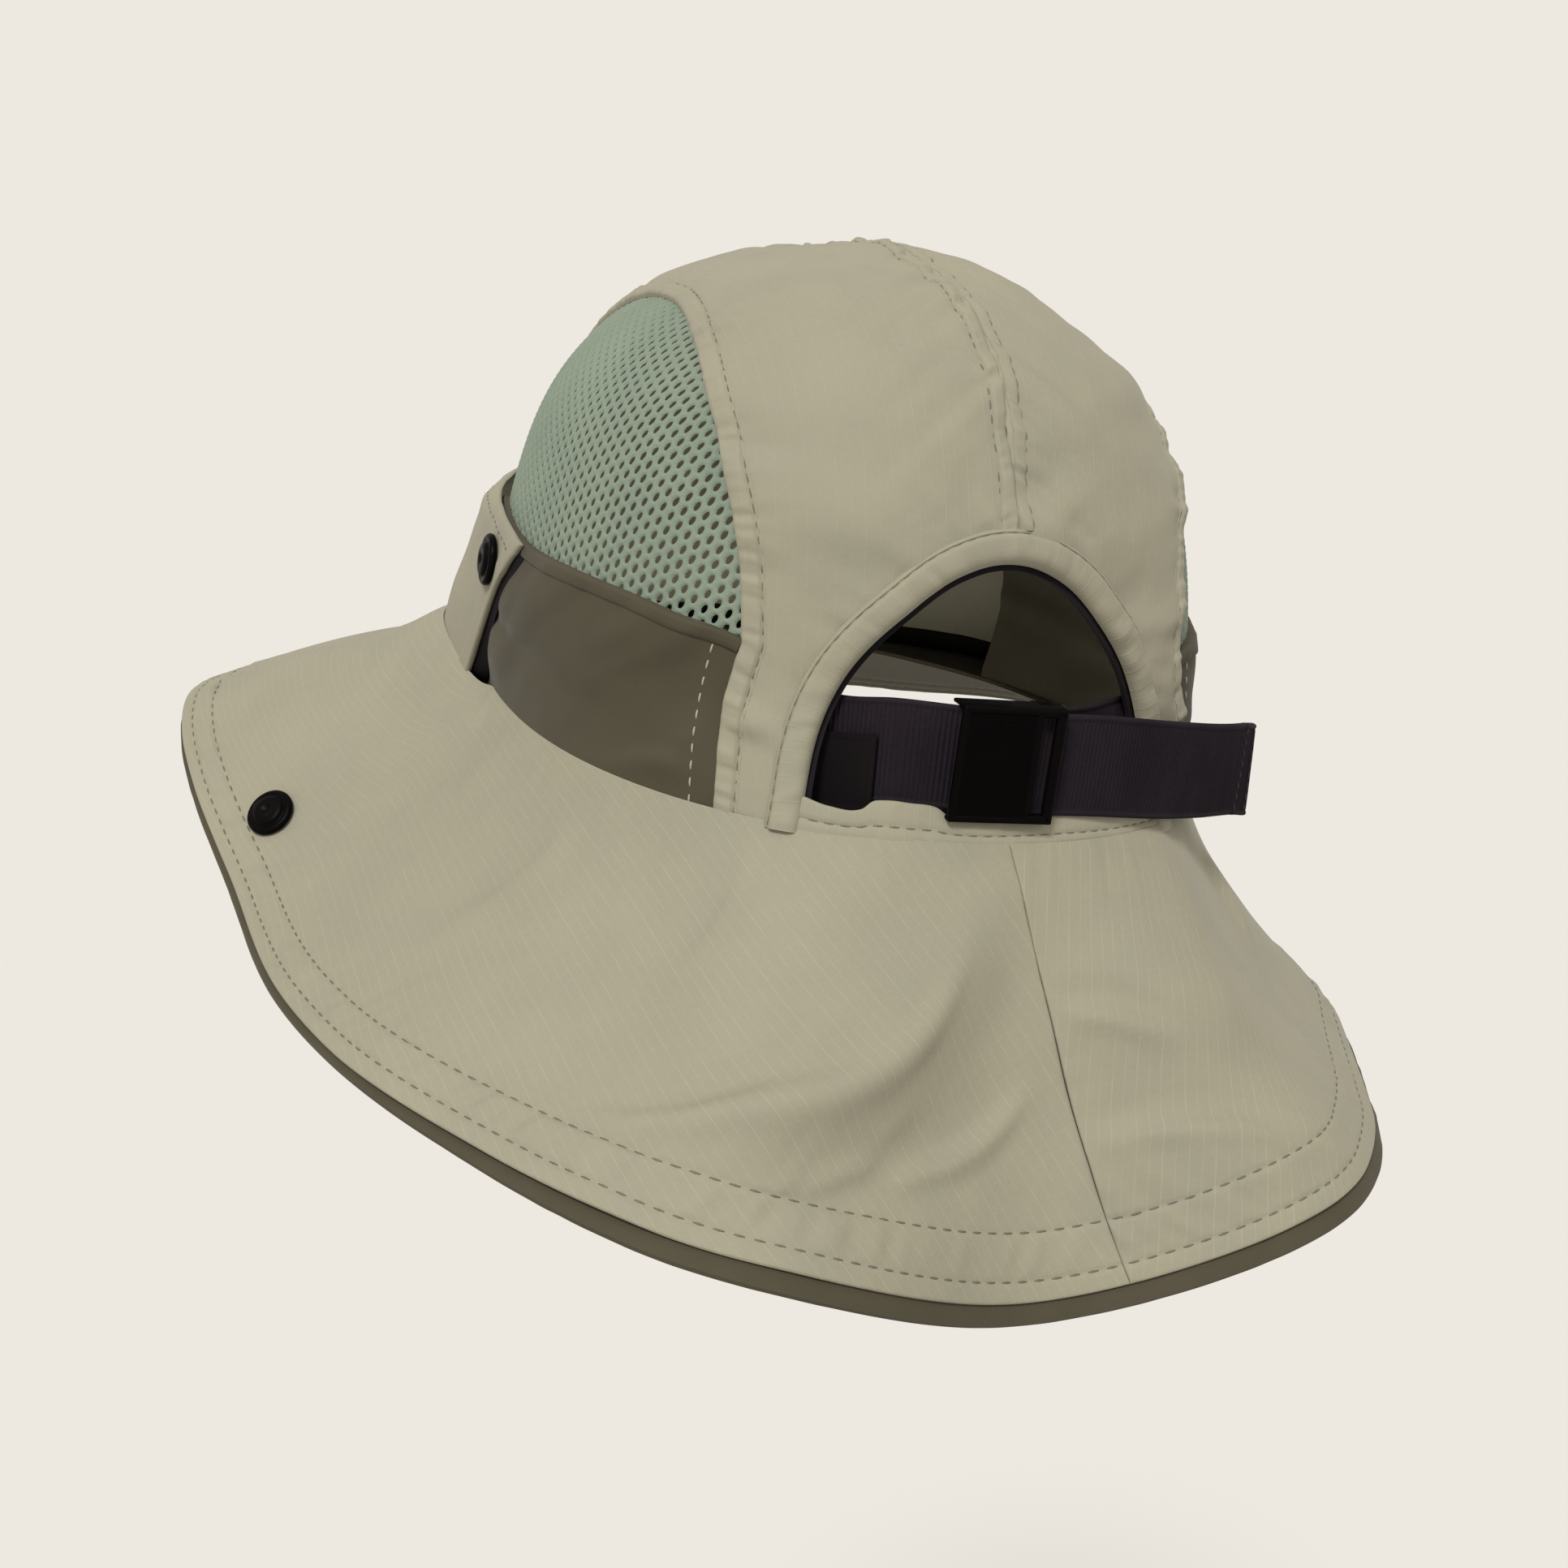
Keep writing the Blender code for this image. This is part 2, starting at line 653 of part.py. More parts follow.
def strap_stub():
    # from inside the opening's right side to the buckle's rear bar, hooked round it
    centre, left, out, up = buckle_axes()
    low, high = strap_edges(STUB_WAY, 4)
    bar = centre + left * stub_bar_shift() - out * stub_bar_depth()
    turn = STUB_BAR / 2 + SEAM_GAP + STUB_THICKNESS / 2
    hook = [bar - left * STUB_TAIL - out * turn]
    for angle in np.radians([0, 45, 90, 135, 180]):
        hook.append(bar + turn * (math.sin(angle) * left - math.cos(angle) * out))
    hook.append(bar - left * STUB_TAIL / 2 + out * turn)
    hook = np.array(hook)
    low = np.vstack([low, hook - up * STRAP_WIDTH / 2])
    high = np.vstack([high, hook + up * STRAP_WIDTH / 2])
    return between(low, high, 2)


def add_box(bm, low, high):
    made = bmesh.ops.create_cube(bm, size=1.0)
    low = np.array(low)
    high = np.array(high)
    for vert in made["verts"]:
        vert.co = (low + high) / 2 + np.array(vert.co) * (high - low)


def box_object(name, low, high, collection, material):
    bm = bmesh.new()
    add_box(bm, low, high)
    return add_object(name, bm, collection, material)


def buckle(collection, cutters, material):
    # in its own frame: X to the wearer's left, Y outward, Z up it
    half = BUCKLE_WIDTH / 2
    tall = BUCKLE_HEIGHT / 2
    front = STRAP_THICKNESS / 2 + SEAM_GAP + BUCKLE_PLATE
    back = -stub_bar_depth() - STUB_BAR / 2
    inside = STRAP_THICKNESS / 2 + SEAM_GAP
    channel = STRAP_WIDTH / 2 + SEAM_GAP
    bar_left = stub_bar_shift() + STUB_BAR / 2
    bar_right = stub_bar_shift() - STUB_BAR / 2
    slot = -half + BUCKLE_BAR
    past = BUCKLE_BAR
    body = box_object("buckle", (-half, back, -tall), (half, front, tall), collection, material)
    cuts = {
        "strap_channel": ((-half - past, back + STUB_BAR, -channel), (half + past, inside, channel)),
        "back_left": ((bar_left, back - past, -channel), (half + past, inside, channel)),
        "back_right": ((-half - past, back - past, -channel), (bar_right, inside, channel)),
        "slot": ((slot, 0.0, -BUCKLE_SLOT_HEIGHT / 2),
                 (slot + BUCKLE_SLOT, front + past, BUCKLE_SLOT_HEIGHT / 2)),
    }
    centre, left, out, up = buckle_axes()
    body.matrix_world = Matrix.Translation(centre) @ Matrix((left, out, up)).transposed().to_4x4()
    for name, (low, high) in cuts.items():
        cutter = box_object(name, low, high, cutters, material)
        cutter.parent = body
        cutter.hide_render = True
        cutter.display_type = "WIRE"
        cut = body.modifiers.new(name, "BOOLEAN")
        cut.operation = "DIFFERENCE"
        cut.object = cutter
    return body


def strap_label():
    low, high = strap_edges(STRAP_WAY, 400)
    angles = np.degrees(np.arctan2(low[:, 0], low[:, 1]))
    kept = (angles <= LABEL_ANGLES[0]) & (angles >= LABEL_ANGLES[1])
    low = low[kept]
    lean = (high[kept] - low) / STRAP_WIDTH
    out = np.cross(np.gradient(low, axis=0), lean)
    out /= np.linalg.norm(out, axis=1)[:, None]
    out *= np.sign(out[:, 1])[:, None]
    low = low + out * (STRAP_THICKNESS / 2 + SEAM_GAP) - lean * LABEL_HANGS
    both = along(np.column_stack([low, low + lean * LABEL_HEIGHT]), 7)
    return between(both[:, :3], both[:, 3:], 2)


def snap(name, spot, axis, collection, material):
    # a turned cap whose section runs from its top down its side
    bm = bmesh.new()
    verts = [bm.verts.new((r * SNAP_RADIUS, 0, h * SNAP_HEIGHT)) for r, h in SNAP_PROFILE]
    for first, second in zip(verts, verts[1:]):
        bm.edges.new((first, second))
    piece = add_object(name, bm, collection, material)
    spin = piece.modifiers.new("Turned", "SCREW")
    spin.steps = SNAP_STEPS
    spin.render_steps = SNAP_STEPS
    spin.use_merge_vertices = True
    spin.merge_threshold = 0.00001
    spin.use_smooth_shade = True
    axis = np.array(axis) / np.linalg.norm(axis)
    piece.rotation_mode = "QUATERNION"
    piece.rotation_quaternion = Vector(axis).to_track_quat("Z", "Y")
    piece.location = np.array(spot) + axis * SNAP_SEAT
    return piece


def surface_spot(function, angle, share):
    # a point on a cloth's outer face and its normal
    middle = function(angle, share)[0]
    across = function(angle + 1.0, share)[0] - function(angle - 1.0, share)[0]
    along_it = function(angle, share + 0.02)[0] - function(angle, share - 0.02)[0]
    normal = np.cross(across, along_it)
    normal /= np.linalg.norm(normal)
    if normal @ (middle + np.array([0, 0, FLAP_DROP])) < 0:
        normal = -normal
    return middle + normal * CLOTH, normal


def main():
    for item in list(bpy.data.objects):
        bpy.data.objects.remove(item, do_unlink=True)
    scene = bpy.context.scene
    parts = bpy.data.collections.new("flap_hat")
    cutters = bpy.data.collections.new("cutters")
    scene.collection.children.link(parts)
    scene.collection.children.link(cutters)
    cloth = {name: finish(name) for name in FINISHES}
    middle = (0, 0, CROWN_HEIGHT * CROWN_MIDDLE)

    for label, side in (("left", 1), ("right", -1)):
        shell("crown_" + label, [khaki_crown(side)], CLOTH, parts, cloth["khaki"], 1, middle)
        shell("mesh_" + label, [mesh_panel(side)], CLOTH, parts, cloth["mesh"], -1, middle)
        shell("side_" + label, [side_panel(side)], CLOTH, parts, cloth["brown"], 1, middle)
        below = (0, 0, -FLAP_DROP * 2)
        shell("brim_top_" + label, brim_half(side), CLOTH, parts, cloth["khaki"], 1, below)
        spot, normal = surface_spot(top_cloth, np.array([BRIM_SNAP_ANGLE * side]), BRIM_SNAP_SHARE)
        snap("brim_snap_" + label, spot, normal, parts, cloth["snap"])
        spot, normal = surface_spot(band_cloth, np.array([CROWN_SNAP_ANGLE * side]), CROWN_SNAP_SHARE)
        snap("crown_snap_" + label, spot, normal, parts, cloth["snap"])
    shell("brim_under", [brim_lining()], CLOTH, parts, cloth["brown"], -1, (0, 0, -FLAP_DROP * 2))
    shell("arch_binding", [binding(0.0, BINDING_WIDTH, -BINDING_THICKNESS / 3)],
          BINDING_THICKNESS, parts, cloth["khaki"], 1, middle)
    shell("arch_facing", [binding(-FACING_SHOWS, FACING_WIDTH - FACING_SHOWS,
                                  -BINDING_THICKNESS / 3 - SEAM_GAP)],
          FACING_THICKNESS, parts, cloth["tape"], -1, middle)
    shell("rear_band", [rear_band()], CLOTH, parts, cloth["khaki"], 1, middle)
    shell("strap_main", [strap_main()], STRAP_THICKNESS, parts, cloth["webbing"], 0, middle)
    shell("strap_stub", [strap_stub()], STUB_THICKNESS, parts, cloth["webbing"], 0, middle)
    shell("strap_label", [strap_label()], LABEL_THICKNESS, parts, cloth["tape"], 1, middle)
    buckle(parts, cutters, cloth["plastic"])


main()
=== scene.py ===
import json
import math

import bmesh
import bpy
import numpy as np
from mathutils import Matrix, Vector
from mathutils.kdtree import KDTree

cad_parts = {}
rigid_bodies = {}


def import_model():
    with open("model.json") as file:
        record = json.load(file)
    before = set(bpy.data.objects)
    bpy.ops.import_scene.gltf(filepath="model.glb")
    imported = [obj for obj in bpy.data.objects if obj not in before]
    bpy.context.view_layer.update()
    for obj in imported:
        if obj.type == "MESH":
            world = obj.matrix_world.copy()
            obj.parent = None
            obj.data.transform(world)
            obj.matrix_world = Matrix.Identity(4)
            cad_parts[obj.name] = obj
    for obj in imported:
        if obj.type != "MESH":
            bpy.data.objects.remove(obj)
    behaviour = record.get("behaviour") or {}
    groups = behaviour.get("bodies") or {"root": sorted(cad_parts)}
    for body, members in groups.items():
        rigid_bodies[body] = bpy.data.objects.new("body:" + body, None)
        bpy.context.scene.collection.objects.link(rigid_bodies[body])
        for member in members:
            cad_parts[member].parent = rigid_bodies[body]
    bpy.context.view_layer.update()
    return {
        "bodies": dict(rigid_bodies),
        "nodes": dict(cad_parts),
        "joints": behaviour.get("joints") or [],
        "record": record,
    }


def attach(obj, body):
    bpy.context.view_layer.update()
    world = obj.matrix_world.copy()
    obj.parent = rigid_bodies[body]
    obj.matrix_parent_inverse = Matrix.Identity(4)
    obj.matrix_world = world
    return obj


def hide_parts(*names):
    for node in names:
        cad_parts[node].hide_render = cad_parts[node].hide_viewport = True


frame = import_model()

print("frame loaded")

# the hat as a whole, in metres; angles run from the rear towards the wearer's left
hat = {
    "height": 0.1156,
    "halfWidth": 0.0811,
    "halfLength": 0.1022,
    "lean": 0.0085,  # how far the top lies forward of the base
    "squareness": 2.24,  # 2 would be an ellipse seen from above
    "fullness": 2.6,  # 2 would be an ellipse seen from the side
    "bodyMiddle": (0, 0, 0.035),
    "quarterArc": 0.155,  # over the cloth from the base to the top
}

# share of the crown's height, half width and half length as shares of the hat's own
crownSections = [
    (0.00, 1.000, 1.000),
    (0.20, 1.025, 0.930),
    (0.45, 1.040, 0.960),
    (0.70, 1.067, 1.045),
    (0.88, 1.054, 1.150),
    (1.00, 1.050, 1.170),
]

# seams on the crown: angle from the rear, share of the height
meshTopSeam = [(37.3, 0.294), (40, 0.45), (46, 0.60), (61, 0.76), (94, 0.85), (122, 0.76), (136, 0.60),
               (141, 0.43)]
meshFootSeam = [(37.3, 0.294), (50, 0.318), (70, 0.338), (88, 0.345), (118, 0.36), (141, 0.38)]
frontFoot = [(141, 0.43), (160, 0.415), (180, 0.41)]


# Curves and noise

def readTable(rows, at, flatEnds=False):
    table = np.array(rows, float)
    if table[0, 0] > table[-1, 0]:
        table = table[::-1]
    keys = table[:, 0]
    values = table[:, 1:]
    secants = np.diff(values, axis=0) / np.diff(keys)[:, None]
    slopes = np.vstack([secants[:1], (secants[1:] + secants[:-1]) / 2, secants[-1:]])
    if flatEnds:
        slopes[[0, -1]] = 0
    at = np.clip(np.atleast_1d(np.asarray(at, float)), keys[0], keys[-1])
    row = np.clip(np.searchsorted(keys, at, side="right") - 1, 0, len(keys) - 2)
    width = (keys[row + 1] - keys[row])[:, None]
    t = (at - keys[row])[:, None] / width
    low = (2 * t**3 - 3 * t**2 + 1) * values[row] + (t**3 - 2 * t**2 + t) * width * slopes[row]
    high = (3 * t**2 - 2 * t**3) * values[row + 1] + (t**3 - t**2) * width * slopes[row + 1]
    return low + high


def ease(value, low, high):
    t = np.clip((np.asarray(value, float) - low) / (high - low), 0, 1)
    return t * t * (3 - 2 * t)


def hump(value, middle, breadth):
    return np.exp(-((np.asarray(value) - middle) / breadth)**2)


def along(points, count, warp=None):
    # a smooth line through the points, evenly spaced unless warp says otherwise
    points = np.asarray(points, float)
    spans = np.linalg.norm(np.diff(points, axis=0), axis=1)
    rows = np.column_stack([np.r_[0, np.cumsum(spans)], points])
    fine = readTable(rows, np.linspace(0, rows[-1, 0], 1600))
    length = np.r_[0, np.cumsum(np.linalg.norm(np.diff(fine, axis=0), axis=1))]
    shares = np.linspace(0, 1, count)
    if warp:
        shares = warp(shares)
    return np.column_stack([np.interp(shares * length[-1], length, fine[:, k])
                            for k in range(fine.shape[1])])


def softNoise(points, size, seed=0):
    # smooth noise from -1 to 1 that gives the same values in each run
    points = np.asarray(points, float)
    flat = np.zeros((points[..., 0].size, 3))
    flat[:, :points.shape[-1]] = points.reshape(len(flat), -1)
    spot = flat / size + seed * 17.31
    cell = np.floor(spot).astype(np.int64)
    part = spot - cell
    part = part * part * (3 - 2 * part)
    total = np.zeros(len(spot))
    for corner in range(8):
        offset = np.array([corner & 1, corner >> 1 & 1, corner >> 2 & 1])
        at = cell + offset
        mixed = (at[:, 0] * 73856093 ^ at[:, 1] * 19349663 ^ at[:, 2] * 83492791) & 0x7fffffff
        mixed = (mixed ^ mixed >> 13) * 1274126177 & 0x7fffffff
        value = (mixed ^ mixed >> 16) % 10007 / 10007 * 2 - 1
        total += np.prod(np.where(offset, part, 1 - part), axis=1) * value
    return total.reshape(points.shape[:-1])


def waves(run, away, pitch, slant=0.0, seed=0):
    # uneven small waves along a seam, a little slanted across it
    spots = np.stack([(run + slant * away) / pitch, away / (pitch * 5), np.full(run.shape, seed * 3.7)],
                     axis=-1)
    return softNoise(spots, 0.5, seed)


def wavesOf(run, away, recipes):
    # several sets of waves together; a recipe is height, pitch, slant and seed
    return sum(height * waves(run, away, pitch, slant, seed) for height, pitch, slant, seed in recipes)


def shallow(lift, limit):
    # a hollow never goes deeper than the limit, so that it doesn't meet the cloth below it
    return np.where(lift < 0, limit * (np.exp(lift / limit) - 1), lift)


# The crown's surface, read from a disc: its rim is the base and its middle the top

def place(angle, share):
    angle = np.radians(np.atleast_1d(np.asarray(angle, float)))
    reach = 1 - np.arcsin(np.clip(share, -0.1, 1)) / (math.pi / 2)
    return np.column_stack([reach * np.sin(angle), reach * np.cos(angle)])


def crownPoint(spots):
    spots = np.asarray(spots, float).reshape(-1, 2)
    reach = np.linalg.norm(spots, axis=1)
    angle = np.arctan2(spots[:, 0], spots[:, 1])
    share = np.sin(np.clip(1 - reach, -0.2, 1) * math.pi / 2)
    width, length = readTable(crownSections, np.clip(share, 0, 1)).T
    dome = np.sqrt(np.clip(1 - np.clip(share, 0, 1)**hat["fullness"], 0, 1))
    power = 2 / hat["squareness"]
    side = np.sign(np.sin(angle)) * np.abs(np.sin(angle))**power
    back = np.sign(np.cos(angle)) * np.abs(np.cos(angle))**power
    return np.column_stack([hat["halfWidth"] * width * dome * side,
                            hat["halfLength"] * length * dome * back - hat["lean"] * share,
                            hat["height"] * share])


def crownSlopes(spots):
    step = 0.004
    spots = np.asarray(spots, float).reshape(-1, 2)
    return [(crownPoint(spots + shift) - crownPoint(spots - shift)) / (2 * step)
            for shift in (np.array([step, 0]), np.array([0, step]))]


def crownNormal(spots):
    across, back = crownSlopes(spots)
    normal = np.cross(across, back)
    normal /= np.linalg.norm(normal, axis=1)[:, None]
    outward = crownPoint(spots) - np.array(hat["bodyMiddle"])
    return normal * np.sign((normal * outward).sum(axis=1))[:, None]


def onCrown(spots, standOff=0.0):
    return crownPoint(spots) + crownNormal(spots) * np.asarray(standOff).reshape(-1, 1)


def crownGrid(spots, side=1):
    # a grid's points and outward directions on the crown, mirrored for the wearer's right
    flip = np.array([side, 1, 1])
    flat = np.asarray(spots).reshape(-1, 2)
    shape = (*spots.shape[:-1], 3)
    return (crownPoint(flat) * flip).reshape(shape), (crownNormal(flat) * flip).reshape(shape)


def widen(line, distance):
    # moves a line sideways over the crown by a real distance
    points = crownPoint(line)
    run = np.gradient(points, axis=0)
    run /= np.linalg.norm(run, axis=1)[:, None]
    way = np.cross(crownNormal(line), run) * np.asarray(distance).reshape(-1, 1)
    across, back = crownSlopes(line)
    aa = (across * across).sum(axis=1)
    ab = (across * back).sum(axis=1)
    bb = (back * back).sum(axis=1)
    wa = (way * across).sum(axis=1)
    wb = (way * back).sum(axis=1)
    det = aa * bb - ab * ab
    return line + np.column_stack([(wa * bb - wb * ab) / det, (wb * aa - wa * ab) / det])


def between(first, last, shares):
    shares = np.asarray(shares, float)[:, None, None]
    return first[None] * (1 - shares) + last[None] * shares


def straight(start, end, shares):
    return between(start.reshape(1, 2), end.reshape(1, 2), shares)[:, 0]


def archLine(distance=0.0, steps=8, below=False):
    # the rear opening's edge from the wearer's left round to the right
    top = arch["height"] / hat["height"]
    half = [(angle * arch["halfAngle"], height * top) for height, angle in arch["shape"]]
    rows = half + [(0.0, top)] + [(-angle, height) for angle, height in reversed(half)]
    line = along(np.vstack([place(angle, share) for angle, share in rows]), 2 * steps + 1)
    if distance:
        line = widen(line, distance)
    line[steps, 0] = 0
    line = (line + line[::-1] * np.array([-1, 1])) / 2
    for end in (0, -1):
        line[end] /= np.linalg.norm(line[end])
    if below:
        line = np.vstack([line[:1] * below, line, line[-1:] * below])
    return line


def seamSpots(rows, count, warp=None):
    return along(np.vstack([place(angle, share) for angle, share in rows]), count, warp)


def runOf(points):
    return np.r_[0, np.cumsum(np.linalg.norm(np.diff(points, axis=0), axis=1))]


def nearSeam(points, line):
    # how far each point is from a seam, and where along the seam its nearest spot is
    tree = KDTree(len(line))
    for k, spot in enumerate(line):
        tree.insert(spot, k)
    tree.balance()
    found = [tree.find(p) for p in points.reshape(-1, 3)]
    away = np.array([f[2] for f in found])
    run = runOf(line)[[f[1] for f in found]]
    return away.reshape(points.shape[:-1]), run.reshape(points.shape[:-1])


def runAcross(grid, shares, row):
    # each point's way along the sheet, measured on one of its rows, and its share of the way across
    return (np.broadcast_to(runOf(grid[row]), grid.shape[:2]),
            np.broadcast_to(np.asarray(shares)[:, None], grid.shape[:2]))


def raised(grid, normal, height):
    return grid + normal * np.asarray(height)[..., None]


# Making meshes

def startPiece():
    return {"verts": [], "faces": [], "plane": [], "finish": [], "count": 0}


def addPart(piece, verts, faces, plane=None, finish=0):
    verts = np.asarray(verts, float).reshape(-1, 3)
    start = piece["count"]
    piece["verts"].append(verts)
    piece["plane"].append(np.zeros((len(verts), 2)) if plane is None else np.asarray(plane).reshape(-1, 2))
    for group in faces:
        piece["faces"].extend((np.asarray(group) + start).tolist())
        piece["finish"].extend([finish] * len(group))
    piece["count"] += len(verts)


def quads(index, flip):
    corners = np.stack([index[:-1, :-1], index[:-1, 1:], index[1:, 1:], index[1:, :-1]], axis=-1)
    return corners.reshape(-1, 4)[:, ::-1] if flip else corners.reshape(-1, 4)


def addShell(piece, face, back, plane=None, finish=0, closed=False, skip=1):
    # a closed sheet from its face and its back; the back keeps every skip-th row
    rows, columns = face.shape[:2]
    kept = sorted(set(list(range(0, rows, skip)) + [rows - 1]))
    if plane is None:
        plane = np.zeros((rows, columns, 2))
    verts = np.vstack([face.reshape(-1, 3), back[kept].reshape(-1, 3)])
    flatPlane = np.vstack([plane.reshape(-1, 2), plane[kept].reshape(-1, 2)])
    front = np.arange(rows * columns).reshape(rows, columns)
    rear = rows * columns + np.arange(len(kept) * columns).reshape(len(kept), columns)
    if closed:
        front = np.column_stack([front, front[:, 0]])
        rear = np.column_stack([rear, rear[:, 0]])
    step = np.cross(np.diff(face[:-1], axis=1)[:, :, :], np.diff(face, axis=0)[:, :-1, :])
    turned = (step * (face - back)[:-1, :-1, :]).sum() < 0
    groups = [quads(front, turned), quads(rear, not turned)]
    for row, other in ((0, 0), (-1, -1)):
        ring = np.stack([front[row, :-1], front[row, 1:], rear[other, 1:], rear[other, :-1]], axis=-1)
        groups.append(ring[:, ::-1] if (row == 0) != turned else ring)
    if not closed:
        for column in (0, -1):
            for k in range(len(kept) - 1):
                ring = [front[i, column] for i in range(kept[k], kept[k + 1] + 1)]
                ring += [rear[k + 1, column], rear[k, column]]
                groups.append([ring if (column == 0) != turned else ring[::-1]])
    addPart(piece, verts, groups, flatPlane, finish)


# a stitch from end to end: share of its half length, thickness, height over the cloth
stitchForm = [(-1, 0.0, -0.9), (-0.82, 0.75, -0.25), (0, 1.0, 0.15), (0.82, 0.75, -0.25), (1, 0.0, -0.9)]


def addThread(piece, line, normals, thread, finish=1):
    # a row of stitches over a line of points on the cloth's face
    runs = runOf(line)
    count = max(int(runs[-1] / thread["pitch"]), 1)
    starts = (np.arange(count) + 0.5) * runs[-1] / count
    half = thread["pitch"] * thread["fill"] / 2
    at = lambda s, values: np.column_stack([np.interp(s, runs, values[:, k]) for k in range(3)])
    up = at(starts, normals)
    way = at(starts + half, line) - at(starts - half, line)
    way /= np.maximum(np.linalg.norm(way, axis=1), 1e-9)[:, None]
    side = np.cross(up, way)
    sides = 6
    turns = np.arange(sides) / sides * 2 * math.pi
    rings = []
    for share, thick, sink in stitchForm:
        middle = at(starts + half * share, line) + up * thread["thick"] * (sink + thread["lift"])
        if thick == 0.0:
            rings.append(middle[:, None, :])
            continue
        ring = [middle + (side * math.cos(t) * 1.15 + up * math.sin(t) * 0.8) * thread["thick"] * thick
                for t in turns]
        rings.append(np.stack(ring, axis=1))
    verts = np.concatenate(rings, axis=1)
    last = verts.shape[1] - 1
    around = [(k, (k + 1) % sides) for k in range(sides)]
    faces = [(low + k, low + after, low + sides + after, low + sides + k)
             for low in (1, 1 + sides) for k, after in around]
    tips = []
    for k, after in around:
        tips += [(0, 1 + after, 1 + k), (last, last - sides + k, last - sides + after)]
    shift = (np.arange(count) * (last + 1))[:, None, None]
    addPart(piece, verts, [(np.array(group)[None] + shift).reshape(-1, len(group[0]))
                           for group in (faces, tips)], None, finish)


def makePiece(piece, name, node, slotName, *looks, sharp=50):
    mesh = bpy.data.meshes.new(name)
    mesh.from_pydata(np.vstack(piece["verts"]).tolist(), [], piece["faces"])
    for look in looks:
        mesh.materials.append(finishes[look])
    mesh.polygons.foreach_set("material_index", piece["finish"])
    corners = np.empty(len(mesh.loops), int)
    mesh.loops.foreach_get("vertex_index", corners)
    layer = mesh.uv_layers.new(name="clothPlane")
    layer.data.foreach_set("uv", np.vstack(piece["plane"])[corners].ravel())
    mesh.validate()
    mesh.shade_smooth()
    mesh.set_sharp_from_angle(angle=math.radians(sharp))
    made = bpy.data.objects.new(name, mesh)
    bpy.context.scene.collection.objects.link(made)
    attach(made, "root")
    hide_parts(node)
    print("made", name, "with", len(mesh.polygons), "faces")


def gridNormals(grid, upward=False):
    normals = np.cross(np.gradient(grid, axis=1), np.gradient(grid, axis=0))
    normals /= np.maximum(np.linalg.norm(normals, axis=2, keepdims=True), 1e-12)
    outward = normals[..., 2] if upward else normals * (grid - np.array(hat["bodyMiddle"]))
    return -normals if outward.sum() < 0 else normals


def rounded(away, half):
    # the cloth's half thickness near a folded edge
    t = np.clip(np.asarray(away) / half, 0, 1)
    return half * np.sqrt(np.clip(1 - (1 - t)**2, 0, 1))


# Finishes

def wire(tree, source, socket):
    if hasattr(source, "is_output"):
        tree.links.new(source, socket)
    else:
        socket.default_value = source


def sums(tree, kind, *values):
    node = tree.nodes.new("ShaderNodeMath")
    node.operation = kind
    for value, socket in zip(values, node.inputs):
        wire(tree, value, socket)
    return node.outputs[0]


def plus(tree, base, value, share):
    return sums(tree, "ADD", base, sums(tree, "MULTIPLY", value, share))


def mapped(tree, value, low, high, start, end):
    node = tree.nodes.new("ShaderNodeMapRange")
    node.interpolation_type = "SMOOTHSTEP"
    for k, given in enumerate((value, low, high, start, end)):
        wire(tree, given, node.inputs[k])
    return node.outputs[0]


def noiseOf(tree, size, detail=2.0):
    source = tree.nodes.new("ShaderNodeTexCoord")
    scale = tree.nodes.new("ShaderNodeVectorMath")
    scale.operation = "MULTIPLY"
    scale.inputs[1].default_value = [1 / size] * 3
    tree.links.new(source.outputs["Object"], scale.inputs[0])
    noise = tree.nodes.new("ShaderNodeTexNoise")
    noise.inputs["Scale"].default_value = 1.0
    noise.inputs["Detail"].default_value = detail
    tree.links.new(scale.outputs[0], noise.inputs["Vector"])
    return noise.outputs["Fac"]


def clothPlane(tree):
    plane = tree.nodes.new("ShaderNodeUVMap")
    plane.uv_map = "clothPlane"
    parts = tree.nodes.new("ShaderNodeSeparateXYZ")
    tree.links.new(plane.outputs[0], parts.inputs[0])
    return parts.outputs[0], parts.outputs[1]


def gridLine(tree, across, pitch, width):
    # 1 on thin lines that repeat with the pitch, 0 between them
    away = sums(tree, "PINGPONG", sums(tree, "DIVIDE", across, pitch), 0.5)
    return mapped(tree, away, 0.0, width, 1.0, 0.0)


def startFinish(name):
    material = bpy.data.materials.new(name)
    material.use_nodes = True
    return material, material.node_tree, material.node_tree.nodes["Principled BSDF"]


def endFinish(tree, shader, look, colour, light, patches, relief, depth):
    # the colour scaled by its light, the roughness from uneven patches, and the fine relief
    scaled = tree.nodes.new("ShaderNodeVectorMath")
    scaled.operation = "SCALE"
    wire(tree, colour, scaled.inputs[0])
    tree.links.new(light, scaled.inputs[3])
    tree.links.new(scaled.outputs[0], shader.inputs["Base Color"])
    tree.links.new(patches, shader.inputs["Roughness"])
    shader.inputs["Specular IOR Level"].default_value = look["gloss"]
    bump = tree.nodes.new("ShaderNodeBump")
    bump.inputs["Strength"].default_value = look["bump"]
    bump.inputs["Distance"].default_value = depth
    tree.links.new(relief, bump.inputs["Height"])
    tree.links.new(bump.outputs[0], shader.inputs["Normal"])


